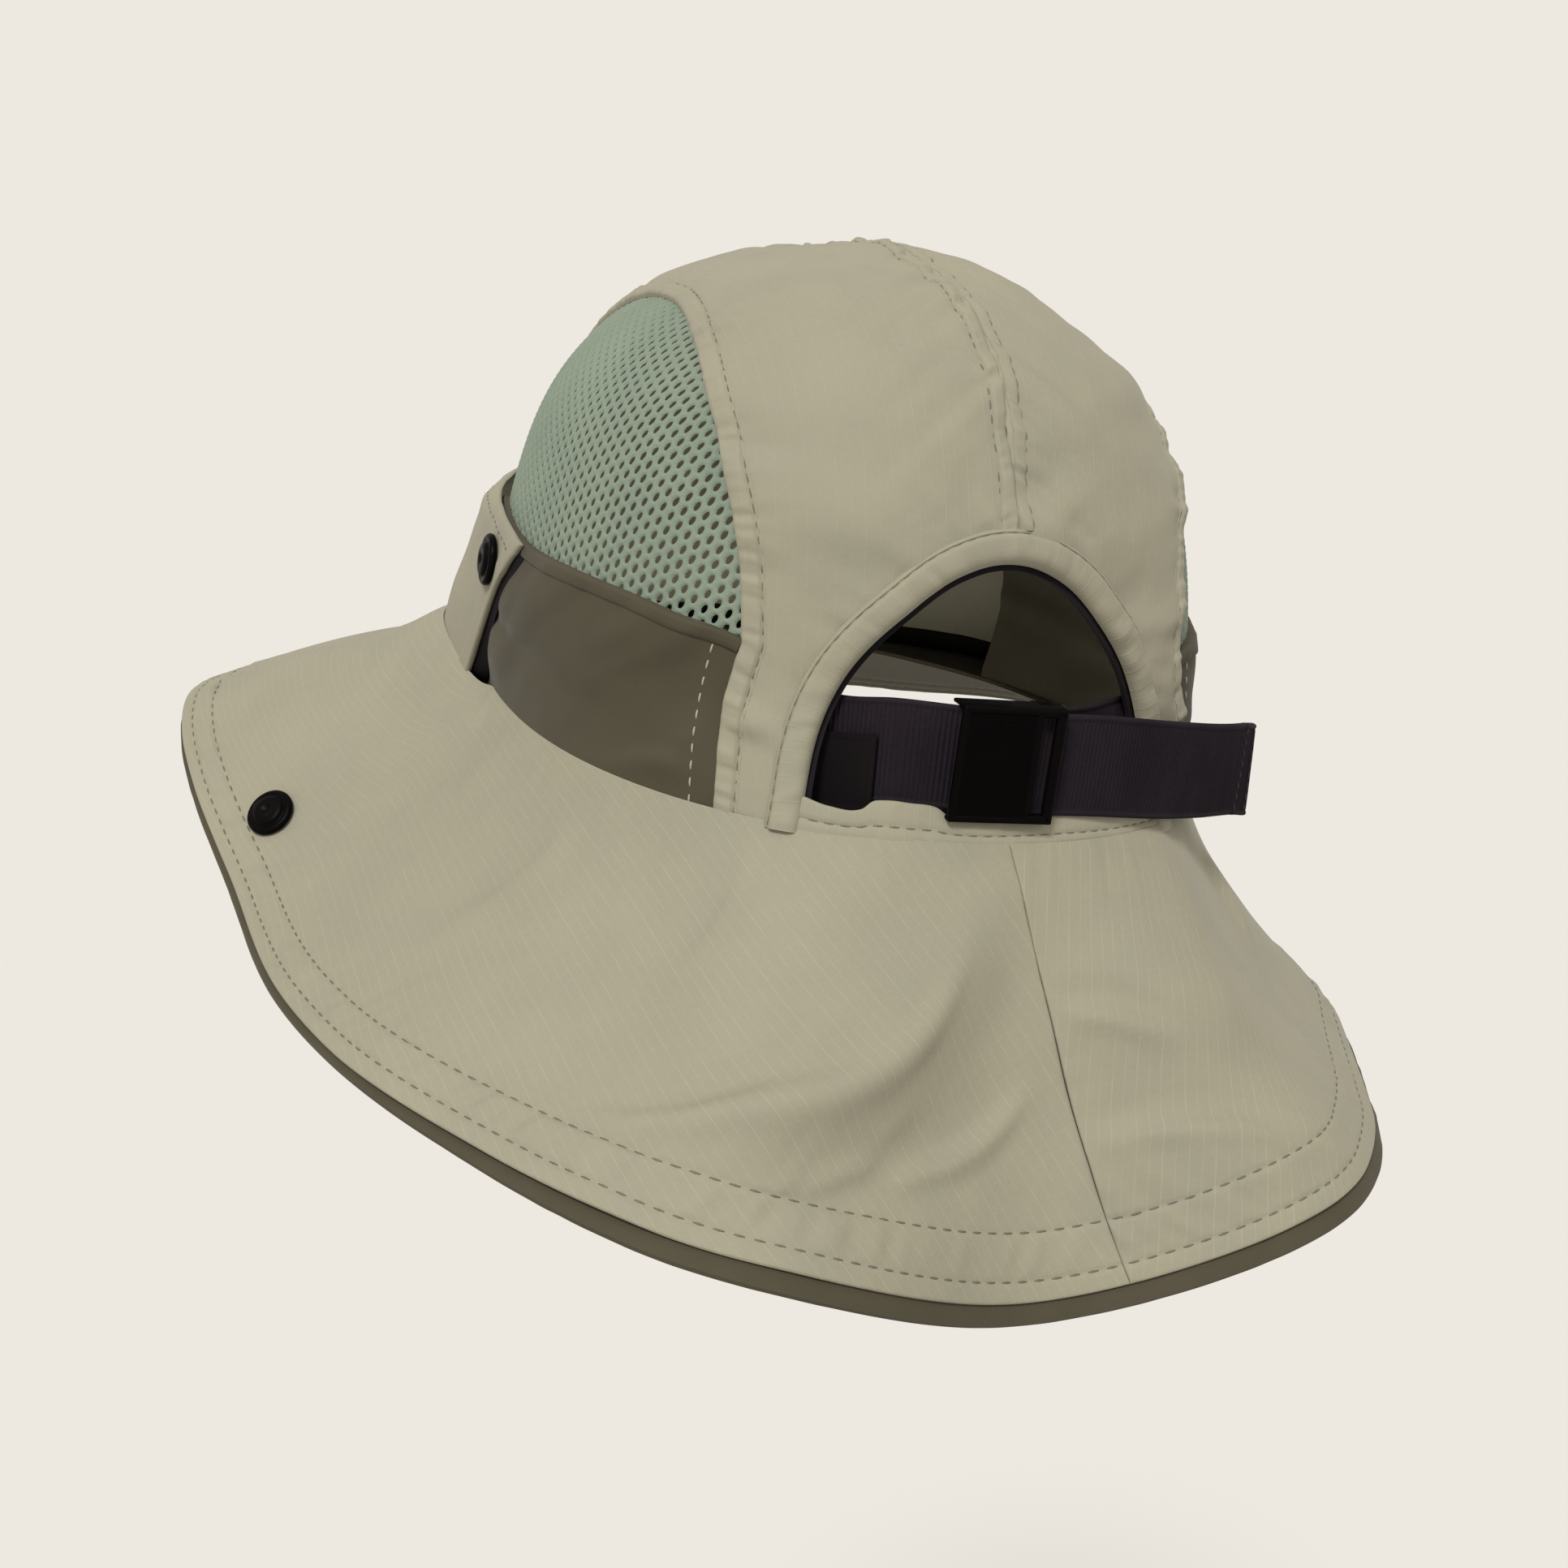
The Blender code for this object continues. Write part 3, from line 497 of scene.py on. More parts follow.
def clothFinish(name, look):
    material, tree, shader = startFinish(name)
    u, v = clothPlane(tree)
    turn = 2 * math.pi / look["thread"]
    warp, weft = (sums(tree, "SINE", sums(tree, "MULTIPLY", way, turn)) for way in (u, v))
    weave = sums(tree, "MULTIPLY", warp, weft)
    cloud = noiseOf(tree, look["cloud"])
    speck = noiseOf(tree, look["speck"], 3.0)
    light = plus(tree, 1.0, sums(tree, "SUBTRACT", cloud, 0.5), look["cloudShift"])
    light = plus(tree, light, sums(tree, "SUBTRACT", speck, 0.5), look["speckShift"])
    light = plus(tree, light, weave, look["weaveShift"])
    height = plus(tree, sums(tree, "MULTIPLY", weave, 0.25), speck, 0.5)
    if look.get("line"):
        # the ripstop's raised threads: every second one stronger, weaker ones across, worn in places
        fine, strong, cross = (gridLine(tree, way, look["line"] * pitch, look["lineWidth"] / pitch)
                               for way, pitch in ((u, 1), (u, 2), (v, 1)))
        lines = plus(tree, sums(tree, "MULTIPLY", fine, 0.62), strong, 0.38)
        lines = plus(tree, lines, cross, look["cross"])
        worn = mapped(tree, noiseOf(tree, 0.006), 0.30, 0.62, 0.25, 1.0)
        lines = sums(tree, "MULTIPLY", lines, worn)
        light = plus(tree, light, lines, look["lineLight"])
        height = plus(tree, height, lines, 0.9)
    tint = tree.nodes.new("ShaderNodeMix")
    tint.data_type = "RGBA"
    tint.inputs[6].default_value = (*look["colour"], 1)
    tint.inputs[7].default_value = (*look["other"], 1)
    tree.links.new(mapped(tree, noiseOf(tree, look["cloud"] * 0.6), 0.35, 0.7, 0.0, 1.0), tint.inputs[0])
    patches = mapped(tree, speck, 0.2, 0.8, look["rough"] - 0.05, look["rough"] + 0.05)
    shader.inputs["Sheen Weight"].default_value = look["sheen"]
    shader.inputs["Sheen Roughness"].default_value = 0.4
    endFinish(tree, shader, look, tint.outputs[2], light, patches, height, 0.0002)
    return material


def solidFinish(name, look):
    material, tree, shader = startFinish(name)
    grain = noiseOf(tree, look["grain"], 4.0)
    cloud = noiseOf(tree, look["grain"] * 25)
    light = plus(tree, 1.0 - look["shift"] / 2, cloud, look["shift"])
    patches = mapped(tree, cloud, 0.25, 0.75, look["rough"] - 0.06, look["rough"] + 0.08)
    endFinish(tree, shader, look, look["colour"], light, patches, grain, 0.0001)
    return material


plainWeave = {"thread": 0.00042, "cloud": 0.03, "speck": 0.0011, "cloudShift": 0.10, "speckShift": 0.10,
              "weaveShift": 0.03, "rough": 0.80, "sheen": 0.06, "gloss": 0.30, "bump": 0.35}
khakiLook = dict(plainWeave, colour=(0.238, 0.221, 0.160), other=(0.226, 0.213, 0.157), line=0.0026,
                 lineWidth=0.11, cross=0.15, lineLight=0.05)
ripstopLook = dict(khakiLook, lineLight=0.13, cross=0.12)
brownLook = dict(plainWeave, colour=(0.050, 0.042, 0.024), other=(0.045, 0.038, 0.021), speckShift=0.22)
# the khaki stitches' colour is painted darker than the khaki cloth, as painted shade of the sunken stitches;
# the pale and dark threads below set their own colours
khakiThreadPaintedShade = {"colour": (0.105, 0.098, 0.072), "grain": 0.0004, "shift": 0.25, "rough": 0.6,
               "gloss": 0.3, "bump": 0.4}
meshLook = dict(plainWeave, colour=(0.170, 0.208, 0.156), other=(0.158, 0.194, 0.147), thread=0.0006,
                speck=0.0007, speckShift=0.30, bump=0.8)
# near-black tape for the arch facing; the same finish is the painted shadow sheet in the front band's slit
tapeAndSlitShadowLook = dict(plainWeave, colour=(0.014, 0.011, 0.013), other=(0.010, 0.008, 0.010), thread=0.0007,
                speckShift=0.3, gloss=0.06, sheen=0.0)
webbingLook = dict(plainWeave, colour=(0.0140, 0.0105, 0.0140), other=(0.0105, 0.0080, 0.0105),
                   thread=0.0008, speckShift=0.5, rough=0.7, gloss=0.05, sheen=0.0)
labelLook = dict(plainWeave, colour=(0.0060, 0.0045, 0.0050), other=(0.0045, 0.0035, 0.0040),
                 thread=0.0005, speckShift=0.4, gloss=0.06, sheen=0.0)
plasticLook = {"colour": (0.0016, 0.0012, 0.0012), "grain": 0.0003, "shift": 0.3, "rough": 0.5,
               "gloss": 0.03, "bump": 0.15}
snapFinish = {"colour": (0.0024, 0.0018, 0.0018), "grain": 0.0002, "shift": 0.3, "rough": 0.34,
              "gloss": 0.03, "bump": 0.08}
finishes = {
    "khaki": clothFinish("khakiCloth", khakiLook),
    "ripstop": clothFinish("khakiRipstop", ripstopLook),
    "brown": clothFinish("brownCloth", brownLook),
    "mesh": clothFinish("sageMesh", meshLook),
    # dark tape, also the painted shadow in the band's slit
    "tape": clothFinish("darkTapeAndSlitShadow", tapeAndSlitShadowLook),
    "webbing": clothFinish("greyWebbing", webbingLook),
    "label": clothFinish("wovenTab", labelLook),
    # the khaki stitches, painted dark as the shade round the sunken thread
    "thread": solidFinish("khakiThreadPaintedShade", khakiThreadPaintedShade),
    "paleThread": solidFinish("paleThread", dict(khakiThreadPaintedShade, colour=(0.27, 0.25, 0.18))),
    "darkThread": solidFinish("darkThread", dict(khakiThreadPaintedShade, colour=(0.016, 0.013, 0.014))),
    "plastic": solidFinish("blackPlastic", plasticLook),
    "snap": solidFinish("blackSnap", snapFinish),
}
print("finishes made")


# Camera, light and floor

view = {
    # in degrees: round from the rear, down, and rolled; the lens in millimetres
    "turn": 23.08,
    "pitch": 15.81,
    "roll": 7.07,
    "lens": 42.07,
    "sensor": 36,
    "spot": (0.1861, 0.418, 0.1097),
    "backdrop": (0.847, 0.814, 0.753),
    "floorDepth": -1.2,
    "floorRadius": 40,
    # each lamp's place, which it shines from towards the hat, its strength and its breadth in degrees
    "lamps": [("keyLight", (0.66, 0.62, 1.05), 3.0, 16), ("fillLight", (-0.9, 0.7, 0.5), 0.2, 60)],
}


def addToScene(name, data):
    made = bpy.data.objects.new(name, data)
    bpy.context.scene.collection.objects.link(made)
    return made


def setCamera():
    turn, pitch, roll = (math.radians(view[k]) for k in ("turn", "pitch", "roll"))
    forward = -Vector((math.sin(turn) * math.cos(pitch), math.cos(turn) * math.cos(pitch), math.sin(pitch)))
    right = forward.cross(Vector((0, 0, 1))).normalized()
    up = right.cross(forward)
    across = right * math.cos(roll) + up * math.sin(roll)
    upward = up * math.cos(roll) - right * math.sin(roll)
    lens = bpy.data.cameras.new("photoView")
    lens.lens = view["lens"]
    lens.sensor_width = view["sensor"]
    lens.clip_start = 0.01
    camera = addToScene("photoView", lens)
    axes = Matrix((across, upward, -forward)).transposed().to_4x4()
    camera.matrix_world = Matrix.Translation(view["spot"]) @ axes
    bpy.context.scene.camera = camera


def setLamps():
    # gives back how strongly the lamps light the floor
    onFloor = 0.0
    for name, spot, strength, breadth in view["lamps"]:
        lamp = bpy.data.lights.new(name, "SUN")
        lamp.energy = strength
        lamp.angle = math.radians(breadth)
        onFloor += strength * Vector(spot).normalized().z / math.pi
        lit = addToScene(name, lamp)
        lit.location = spot
        lit.rotation_mode = "QUATERNION"
        lit.rotation_quaternion = (-Vector(spot)).to_track_quat("-Z", "Y")
    return onFloor


def setTheStage():
    setCamera()
    onFloor = setLamps()
    world = bpy.data.worlds.new("studio")
    world.use_nodes = True
    sky = world.node_tree.nodes["Background"]
    sky.inputs["Color"].default_value = (*view["backdrop"], 1)
    sky.inputs["Strength"].default_value = 1.0
    bpy.context.scene.world = world
    bpy.context.scene.view_settings.view_transform = "Standard"
    # lit by the lamps and the sky together the floor reads as the sky does, so that no horizon shows
    colour = [part / (part + onFloor) for part in view["backdrop"]]
    mesh = bpy.data.meshes.new("floor")
    turns = np.linspace(0, 2 * math.pi, 64, endpoint=False)
    reach = view["floorRadius"]
    mesh.from_pydata([(reach * math.cos(t), reach * math.sin(t), view["floorDepth"]) for t in turns], [],
                     [list(range(len(turns)))])
    mesh.materials.append(solidFinish("paleFloor", {"colour": colour, "grain": 0.01, "shift": 0.0,
                                                    "rough": 0.95, "gloss": 0.0, "bump": 0.0}))
    addToScene("floor", mesh)
    print("camera, light and floor set")


setTheStage()

# The rear opening and its binding

arch = {
    "height": 0.0555,
    "halfAngle": 28.6,
    # share of the height, share of the half angle
    "shape": [(0.0, 1.0), (0.3, 0.895), (0.55, 0.752), (0.8, 0.476), (0.94, 0.25)],
    "width": 0.007,
    "overhang": 0.0006,
    "thickness": 0.0036,
    "sink": 0.0008,
    "steps": 130,
    "endReach": 1.006,
    "across": [0, 0.02, 0.07, 0.16, 0.28, 0.42, 0.56, 0.68, 0.76, 0.80, 0.84, 0.88, 0.93, 0.97, 1.0],
    "stitchRow": 10,
    "groove": 0.00055,
    # height, pitch, slant and seed
    "creases": [(0.00034, 0.0036, 0.35, 3), (0.00050, 0.010, -0.5, 4)],
    "thread": {"pitch": 0.0031, "fill": 0.72, "thick": 0.00020, "lift": 0.35},
    # the overlap where the binding's ends meet at the top
    "joinHalf": 0.0024,
    "joinLift": 0.00030,
}


def makeBinding():
    piece = startPiece()
    stitched = arch["stitchRow"]
    inner, outer = (archLine(edge, arch["steps"], arch["endReach"])
                    for edge in (0.0, arch["width"] + arch["overhang"]))
    base, normal = crownGrid(between(inner, outer, arch["across"]))
    run, across = runAcross(base, arch["across"], 7)
    dome = np.sqrt(np.clip(1 - np.abs(2 * across - 1)**3.2, 0, 1))
    crease = wavesOf(run, across * arch["width"], arch["creases"]) * (1 - 0.4 * across)
    join = arch["joinLift"] * (np.abs(base[..., 0]) < arch["joinHalf"])
    top = (arch["thickness"] - arch["sink"] + crease + join) * dome
    top -= arch["groove"] * hump(across, arch["across"][stitched], 0.035)
    face = raised(base, normal, top)
    back = raised(base, normal, -arch["sink"] * dome)
    addShell(piece, face, back, np.stack([run, across * arch["width"]], axis=-1), skip=2)
    addThread(piece, face[stitched], normal[stitched], arch["thread"])
    makePiece(piece, "archBinding", "arch_binding", "khaki_cloth", "khaki", "thread")


facing = {
    "inner": -0.0012,
    "outer": 0.0090,
    "width": 0.010,
    "steps": 90,
    "endReach": 1.004,
    "across": [0, 0.04, 0.12, 0.3, 0.55, 0.8, 0.95, 1.0],
    "face": -0.00105,
    "back": -0.0019,
    "bend": 0.0006,
    "ripple": [(0.00012, 0.004, 0.0, 8)],
}


def makeFacing():
    piece = startPiece()
    inner, outer = (archLine(facing[edge], facing["steps"], facing["endReach"])
                    for edge in ("inner", "outer"))
    base, normal = crownGrid(between(inner, outer, facing["across"]))
    run, across = runAcross(base, facing["across"], 3)
    plane = np.stack([run, across * facing["width"]], axis=-1)
    ripple = wavesOf(*np.moveaxis(plane, -1, 0), facing["ripple"])
    bend = facing["bend"] * ease(across, 0.3, 0.0)
    face = raised(base, normal, facing["face"] + ripple + bend)
    back = raised(base, normal, facing["back"] + ripple + bend * 0.6)
    addShell(piece, face, back, plane)
    makePiece(piece, "archFacing", "arch_facing", "grey_tape", "tape")


# The khaki crown, in two halves with a felled seam between them

crown = {
    "face": 0.0015,
    "thickness": 0.0008,
    "edgeFace": 0.0008,
    "hollowLimit": 0.0006,
    "rearAngle": 41.8,
    "frontEnd": 0.56,
    "underBinding": 0.0012,
    # steps along the binding, then along the outer seam's rear, top and foot
    "counts": (66, 36, 250, 44),
    "footReach": 1.012,  # the cloth ends a little below the base
    # broad waves beside the seams, as multiples of the small ones
    "farWaves": {"pitch": 2.6, "height": 2.1, "reach": 2.8},
    # hollows are shallow up to the first distance from the outer seam and free from the second
    "unlimited": (0.010, 0.022),
    # where the cloth's face and back end at the middle of the hat
    "seamFace": 0.00006,
    "seamBack": -0.0007,
    "rows": 76,
    "thread": {"pitch": 0.0032, "fill": 0.74, "thick": 0.00019, "lift": 0.2},
    "stitchRow": 9,
    # waves beside the outer seam, the centre seam, the binding and the foot:
    # pitch, height, how far they reach, slant and seed
    "seamWaves": [(0.0054, 0.00052, 0.0100, 0.25, 11), (0.0042, 0.00046, 0.0080, 0.45, 12),
                  (0.0066, 0.00064, 0.0095, 0.3, 13), (0.0070, 0.00045, 0.0070, 0.2, 14)],
    # the whole cloth's unevenness: height, shortening along each axis, size and seed
    "softWaves": [(0.00150, (1, 1, 0.45), 0.034, 21), (0.00090, (1, 1, 2.2), 0.022, 22),
                  (0.00022, (1.6, 1, 1), 0.009, 23)],
}

# the edge fold's lines: distance from the outer seam and lift
edgeFold = {
    "lines": [(-0.0002, -0.0006), (0.0, 0.0002), (0.0002, 0.0006), (0.0006, 0.0008), (0.0014, 0.00090),
              (0.0026, 0.00085), (0.0036, 0.0008), (0.0041, 0.00060), (0.0044, 0.00020), (0.0047, -0.00005),
              (0.0050, 0.00015), (0.0053, 0.00010), (0.0056, -0.00030)],
    "ripple": (0.00038, 0.0030, 0.5, 31),
}

# the felled seam's doubled cloth on the wearer's left and right, and its lift from line to line
felledBand = {
    1: {"width": 0.0043, "lift": 0.00070, "ripple": (0.00062, 0.0031, 0.5, 33)},
    -1: {"width": 0.0037, "lift": 0.00045, "ripple": (0.00036, 0.0031, 0.5, 34)},
    "shape": [0.0, 0.7, 0.95, 1, 1, 1, 0.95, 0.8, 0.3, -0.15, -0.1, -0.5],
}


def outerSeam(rearCount, topCount):
    low = straight(place(crown["rearAngle"], 0.0), place(*meshTopSeam[0]), np.linspace(0, 1, rearCount))
    return np.vstack([low, seamSpots(meshTopSeam, topCount)[1:]])


def centreSeam(count):
    return straight(archLine(arch["width"], 8)[8], place(180, crown["frontEnd"]), np.linspace(0, 1, count))


def crownSeams(side):
    # the seams that pull the cloth into small waves
    foot = place(np.linspace(28, 42, 60), 0.0)
    lines = (outerSeam(60, 500), centreSeam(500), archLine(arch["width"], 200), foot)
    return [crownPoint(line) * np.array([side, 1, 1]) for line in lines]


def crownWaves(points, side, seams):
    # wrinkles of the khaki cloth at any of its points
    fromEdge = nearSeam(points, seams[0])[0]
    lift = np.zeros(fromEdge.shape)
    other = 20 if side < 0 else 0
    far = crown["farWaves"]
    for line, (pitch, height, reach, slant, seed) in zip(seams, crown["seamWaves"]):
        away, run = nearSeam(points, line)
        small = waves(run, away, pitch, slant, seed + other)
        broad = waves(run, away, pitch * far["pitch"], slant * 2, seed + 40 + other) * far["height"]
        lift += height * (small * hump(away, 0, reach) + broad * hump(away, 0, reach * far["reach"]))
    for height, stretch, size, seed in crown["softWaves"]:
        lift += height * softNoise(points * np.array(stretch), size, seed)
    # hollows are kept shallow beside the mesh and the brown panel
    limited = shallow(lift, crown["hollowLimit"])
    return limited + (lift - limited) * ease(fromEdge, *crown["unlimited"])


def crownFace(base, seams):
    # the face lies lower beside the mesh, where the cloth is folded under
    away = nearSeam(base, seams[0])[0]
    return crown["edgeFace"] + (crown["face"] - crown["edgeFace"]) * ease(away, 0.0, 0.012)


def crownPlane(base, spots):
    # the cloth laid flat: across the hat, then up the crown
    return np.stack([base[..., 0], (1 - np.linalg.norm(spots, axis=-1)) * hat["quarterArc"]], axis=-1)


def makeCrownHalf(hand, side):
    piece = startPiece()
    archCount, rearCount, topCount, footCount = crown["counts"]
    outer = np.vstack([outerSeam(rearCount, topCount), seamSpots(frontFoot, footCount)[1:]])
    inner = archLine(arch["width"] - crown["underBinding"], archCount)[:archCount + 1]
    shares = np.linspace(0, 1, len(outer) - len(inner) + 1)**1.15
    inner = np.vstack([inner, straight(inner[-1], place(180.0, crown["frontEnd"]), shares)[1:]])
    spots = between(inner, outer, np.linspace(0, 1, crown["rows"]))
    spots = np.concatenate([spots[:, :1] * crown["footReach"], spots], axis=1)
    base, normal = crownGrid(spots, side)
    seams = crownSeams(side)
    lift = crownFace(base, seams) + crownWaves(base, side, seams)
    face = raised(base, normal, lift)
    back = raised(base, normal, lift - crown["thickness"])
    # the seam allowance crosses the middle behind the seam
    middle = np.abs(spots[..., 0]) < 1e-9
    face[middle, 0] = side * crown["seamFace"]
    back[middle, 0] = side * crown["seamBack"]
    addShell(piece, face, back, crownPlane(base, spots), skip=3)
    addEdgeFold(piece, side, seams)
    addFelledBand(piece, side, seams)
    makePiece(piece, "crown" + hand, "crown_" + hand.lower(), "khaki_cloth", "khaki", "thread")


def addStrip(piece, lines, lifts, side, seams, ripple, ground):
    # a folded strip on the crown, from lines beside a seam and its lift at each of them
    spots = np.array(lines)
    base, normal = crownGrid(spots, side)
    run, across = runAcross(base, np.linspace(0, 1, len(lines)), len(lines) // 2)
    inside = np.sin(math.pi * np.clip(across, 0.04, 0.96))
    level = ground(base, seams) + crownWaves(base, side, seams)
    body = np.array(lifts)[:, None] + wavesOf(run, across * 0.005, [ripple]) * inside
    face = raised(base, normal, level + body)
    back = raised(base, normal, level - 0.0003)
    addShell(piece, face, back, crownPlane(base, spots), skip=3)
    addThread(piece, face[crown["stitchRow"]], normal[crown["stitchRow"]], crown["thread"])


def addEdgeFold(piece, side, seams):
    # the crown's edge along the mesh and the brown panel, folded under and stitched
    line = outerSeam(70, 420)
    line[0] *= 1.008
    steps, lifts = zip(*edgeFold["lines"])
    lines = [widen(line, -step) for step in steps]
    addStrip(piece, lines, lifts, side, seams, edgeFold["ripple"], crownFace)


def addFelledBand(piece, side, seams):
    # the doubled cloth beside the centre seam, between the seam and its stitching
    look = felledBand[side]
    width = look["width"]
    line = centreSeam(460)
    steps = np.r_[0.00012, 0.0003, 0.0007, np.linspace(0.0014, width - 0.0012, 4), width - 0.0007,
                  width - 0.0003, width, width + 0.0003, width + 0.0007]
    lifts = np.array(felledBand["shape"]) * look["lift"]
    addStrip(piece, [widen(line, step) for step in steps], lifts, side, seams, look["ripple"],
             lambda base, seams: crown["face"])


# The brim and flap: the upper and the under cloth share one form

brim = {
    "reach": 0.1425,
    "drop": 0.0884,
    "seamDrop": 0.0010,
    "seamInset": 0.0008,
    "plyGap": 0.0006,
    "cloth": 0.0011,
    "hem": 0.0045,
    "sideHem": 0.0020,
    "hollow": 0.0060,
    "hollowLimit": 0.0007,
    "billArch": 0.0070,
    "swing": -8.0,  # how far the flap's seam turns on its way out, in degrees
    "columns": 446,
    "mainRows": 46,
    # angles of the first columns, close together beside the flap's seam
    "nearSeam": [0, 0.05, 0.14, 0.3, 0.55, 0.85],
    "seeds": {1: 50, -1: 70},
    "seamGap": 0.00004,
    # height, pitch, slant and reach
    "seamPucker": (0.00022, 0.0060, 0.3, 0.008),
    "rootPucker": (0.00035, 0.0080, 0.4, 0.010),
    # height, shortening along each axis, size and seed
    "softWaves": [(0.0012, (1, 1, 0.6), 0.036, 7), (0.00022, (1, 1, 1), 0.011, 8)],
    "thread": {"pitch": 0.0039, "fill": 0.66, "thick": 0.00021, "lift": 0.15},
}

# the edge: angle, reach and drop as shares
brimEdgeTable = [(0, 1.0, 1.0), (25, 1.14, 0.774), (50, 1.037, 0.725), (75, 0.985, 0.698),
                 (100, 1.014, 0.629), (125, 1.26, 0.31), (150, 1.345, 0.37), (180, 1.289, 0.40)]

# folds: start and end as angle and share of the width, half breadth, height, both as shares
flapFolds = [(2, 0.15, 30, 0.78, 0.060, 0.040), (4, 0.55, 32, 0.95, 0.055, -0.028),
             (-2, 0.36, -28, 0.46, 0.055, 0.028), (-6, 0.66, -30, 0.82, 0.050, 0.026),
             (96, 0.05, 110, 0.72, 0.060, 0.030), (52, 0.30, 64, 0.95, 0.090, 0.026),
             (-52, 0.25, -66, 0.95, 0.090, 0.030)]

# finer creases of the upper cloth alone: start and end as before, breadth and height in metres
flapCreases = [(5, 0.18, 36, 0.80, 0.0042, 0.0022), (-2, 0.50, 18, 0.78, 0.0036, 0.0026),
               (-3, 0.33, -17, 0.47, 0.0030, -0.0018), (-6, 0.62, -25, 0.79, 0.0032, -0.0019),
               (20, 0.50, 44, 0.86, 0.0040, 0.0014), (-50, 0.10, -48, 0.55, 0.0050, 0.0014),
               (34, 0.06, 40, 0.50, 0.0060, 0.0012), (62, 0.10, 70, 0.62, 0.0060, 0.0010),
               (10, 0.60, 24, 0.90, 0.0030, -0.0011)]

# stitching beside the edge: angle, outer and inner line's distance from the upper cloth's edge
hemStitches = [(0, 0.0042, 0.0138), (30, 0.0042, 0.0130), (60, 0.0040, 0.0108), (90, 0.0034, 0.0094),
               (120, 0.0032, 0.0090), (180, 0.0032, 0.0090)]

# the standing front band; the top's rows are angle and shares of height, stand-off and foot height
band = {
    "slitAngle": 105.0,
    "topAngle": 85.0,
    "standOff": 0.0115,
    "footHeight": 0.009,
    "clearance": 0.0018,
    "riseSpan": 8.0,  # degrees over which the brim climbs to the band's foot
    "liftSpan": (-0.12, 0.34),  # shares of the brim's width over which that climb fades
    "stitchDepth": 0.0045,
    "columns": 150,
    "nearEdge": [0, 0.08, 0.25, 0.6],
    "top": [(85, 0.345, 0.15, 0), (96, 0.375, 0.22, 0), (105, 0.390, 0.45, 0), (118, 0.405, 1.00, 1),
            (141, 0.450, 0.60, 1), (180, 0.450, 0.35, 1)],
    "section": [(0.0, 1.15), (0.25, 0.92), (0.5, 0.64), (0.75, 0.47), (0.9, 0.34), (1.0, 0.0)],
}


def brimEdge(angle):
    away = np.abs((angle + 180) % 360 - 180)
    reach, drop = readTable(brimEdgeTable, away, flatEnds=True).T
    turn = np.radians(angle)
    return np.column_stack([brim["reach"] * reach * np.sin(turn), brim["reach"] * reach * np.cos(turn),
                            -brim["drop"] * drop])


def brimRoot(angle):
    flat = crownPoint(place(angle, 0.0))
    out = flat * np.array([1, 1, 0])
    out /= np.linalg.norm(out, axis=1)[:, None]
    return flat + out * brim["seamInset"] - np.array([0, 0, brim["seamDrop"]])


def brimWidth(angle):
    return np.linalg.norm(brimEdge(angle) - brimRoot(angle), axis=1)


def plainBrim(angle, share):
    root = brimRoot(angle)
    return root + (brimEdge(angle) - root) * np.asarray(share).reshape(-1, 1)


def brimBow(angle, share):
    sides = ease(np.abs(angle), 12, 45) * (1 - ease(np.abs(angle), 90, 125))
    front = ease(np.abs(angle), 95, 122)
    rise = brim["billArch"] * front - brim["hollow"] * sides
    return rise * np.sin(math.pi * np.clip(share, 0, 1)**0.8)


def swung(angle, share):
    return angle + brim["swing"] * share * (1 - ease(np.abs(angle), 0, 60))


def besideFold(angle, share, ends, width):
    # the share of the way along a fold's line, the places from its start, and the line itself
    arc = brim["reach"] * 0.9
    startAngle, startShare, endAngle, endShare = ends
    start = np.array([math.radians(startAngle) * arc, startShare * width])
    line = np.array([math.radians(endAngle) * arc, endShare * width]) - start
    spot = np.column_stack([np.radians(angle) * arc, share * width]) - start
    return spot @ line / (line @ line), spot, line


def foldHeight(angle, share):
    height = np.zeros(len(angle))
    for *ends, breadth, rise in flapFolds:
        t, spot, line = besideFold(angle, share, ends, brim["reach"] * 0.42)
        away = np.linalg.norm(spot - np.clip(t, 0, 1)[:, None] * line, axis=1)
        fade = ease(t, -0.25, 0.3) * (1 - ease(t, 0.75, 1.2))
        height += rise * brim["drop"] * np.exp(-(away / (breadth * brim["reach"]))**2) * fade
    return height * ease(share, 0.0, 0.12)


def creaseHeight(angle, share):
    # each crease is a ridge with a valley on one side
    height = np.zeros(len(angle))
    for *ends, breadth, rise in flapCreases:
        t, spot, line = besideFold(angle, share, ends, brim["reach"] * 0.70)
        long = np.linalg.norm(line)
        bow = 0.10 * long * np.sin(math.pi * np.clip(t, 0, 1))
        away = (spot[:, 0] * line[1] - spot[:, 1] * line[0]) / long + bow
        fade = ease(t, -0.05, 0.35) * (1 - ease(t, 0.6, 1.05))
        height += rise * fade * (np.exp(-(away / breadth)**2) - 0.8 * np.exp(-(away / breadth - 1.5)**2))
    return height


def brimPoint(angle, share, standOff=0.0):
    angle = np.asarray(angle, float).ravel()
    share = np.broadcast_to(np.asarray(share, float).ravel(), angle.shape)
    turned = plainBrim(angle + 1.0, share) - plainBrim(angle - 1.0, share)
    normal = np.cross(brimEdge(angle) - brimRoot(angle), turned)
    normal /= np.linalg.norm(normal, axis=1)[:, None]
    normal *= np.sign(normal[:, 2])[:, None]
    lift = foldHeight(angle, share) + brimBow(angle, share) + np.asarray(standOff)
    return plainBrim(angle, share) + normal * lift.reshape(-1, 1)


def bandRow(angle, column):
    # the front band's table read at any angle: height, stand-off or foot height
    return readTable(band["top"], np.clip(np.abs(angle), band["topAngle"], 180))[:, column]


def bandStandOff(angle):
    return band["standOff"] * bandRow(angle, 1)


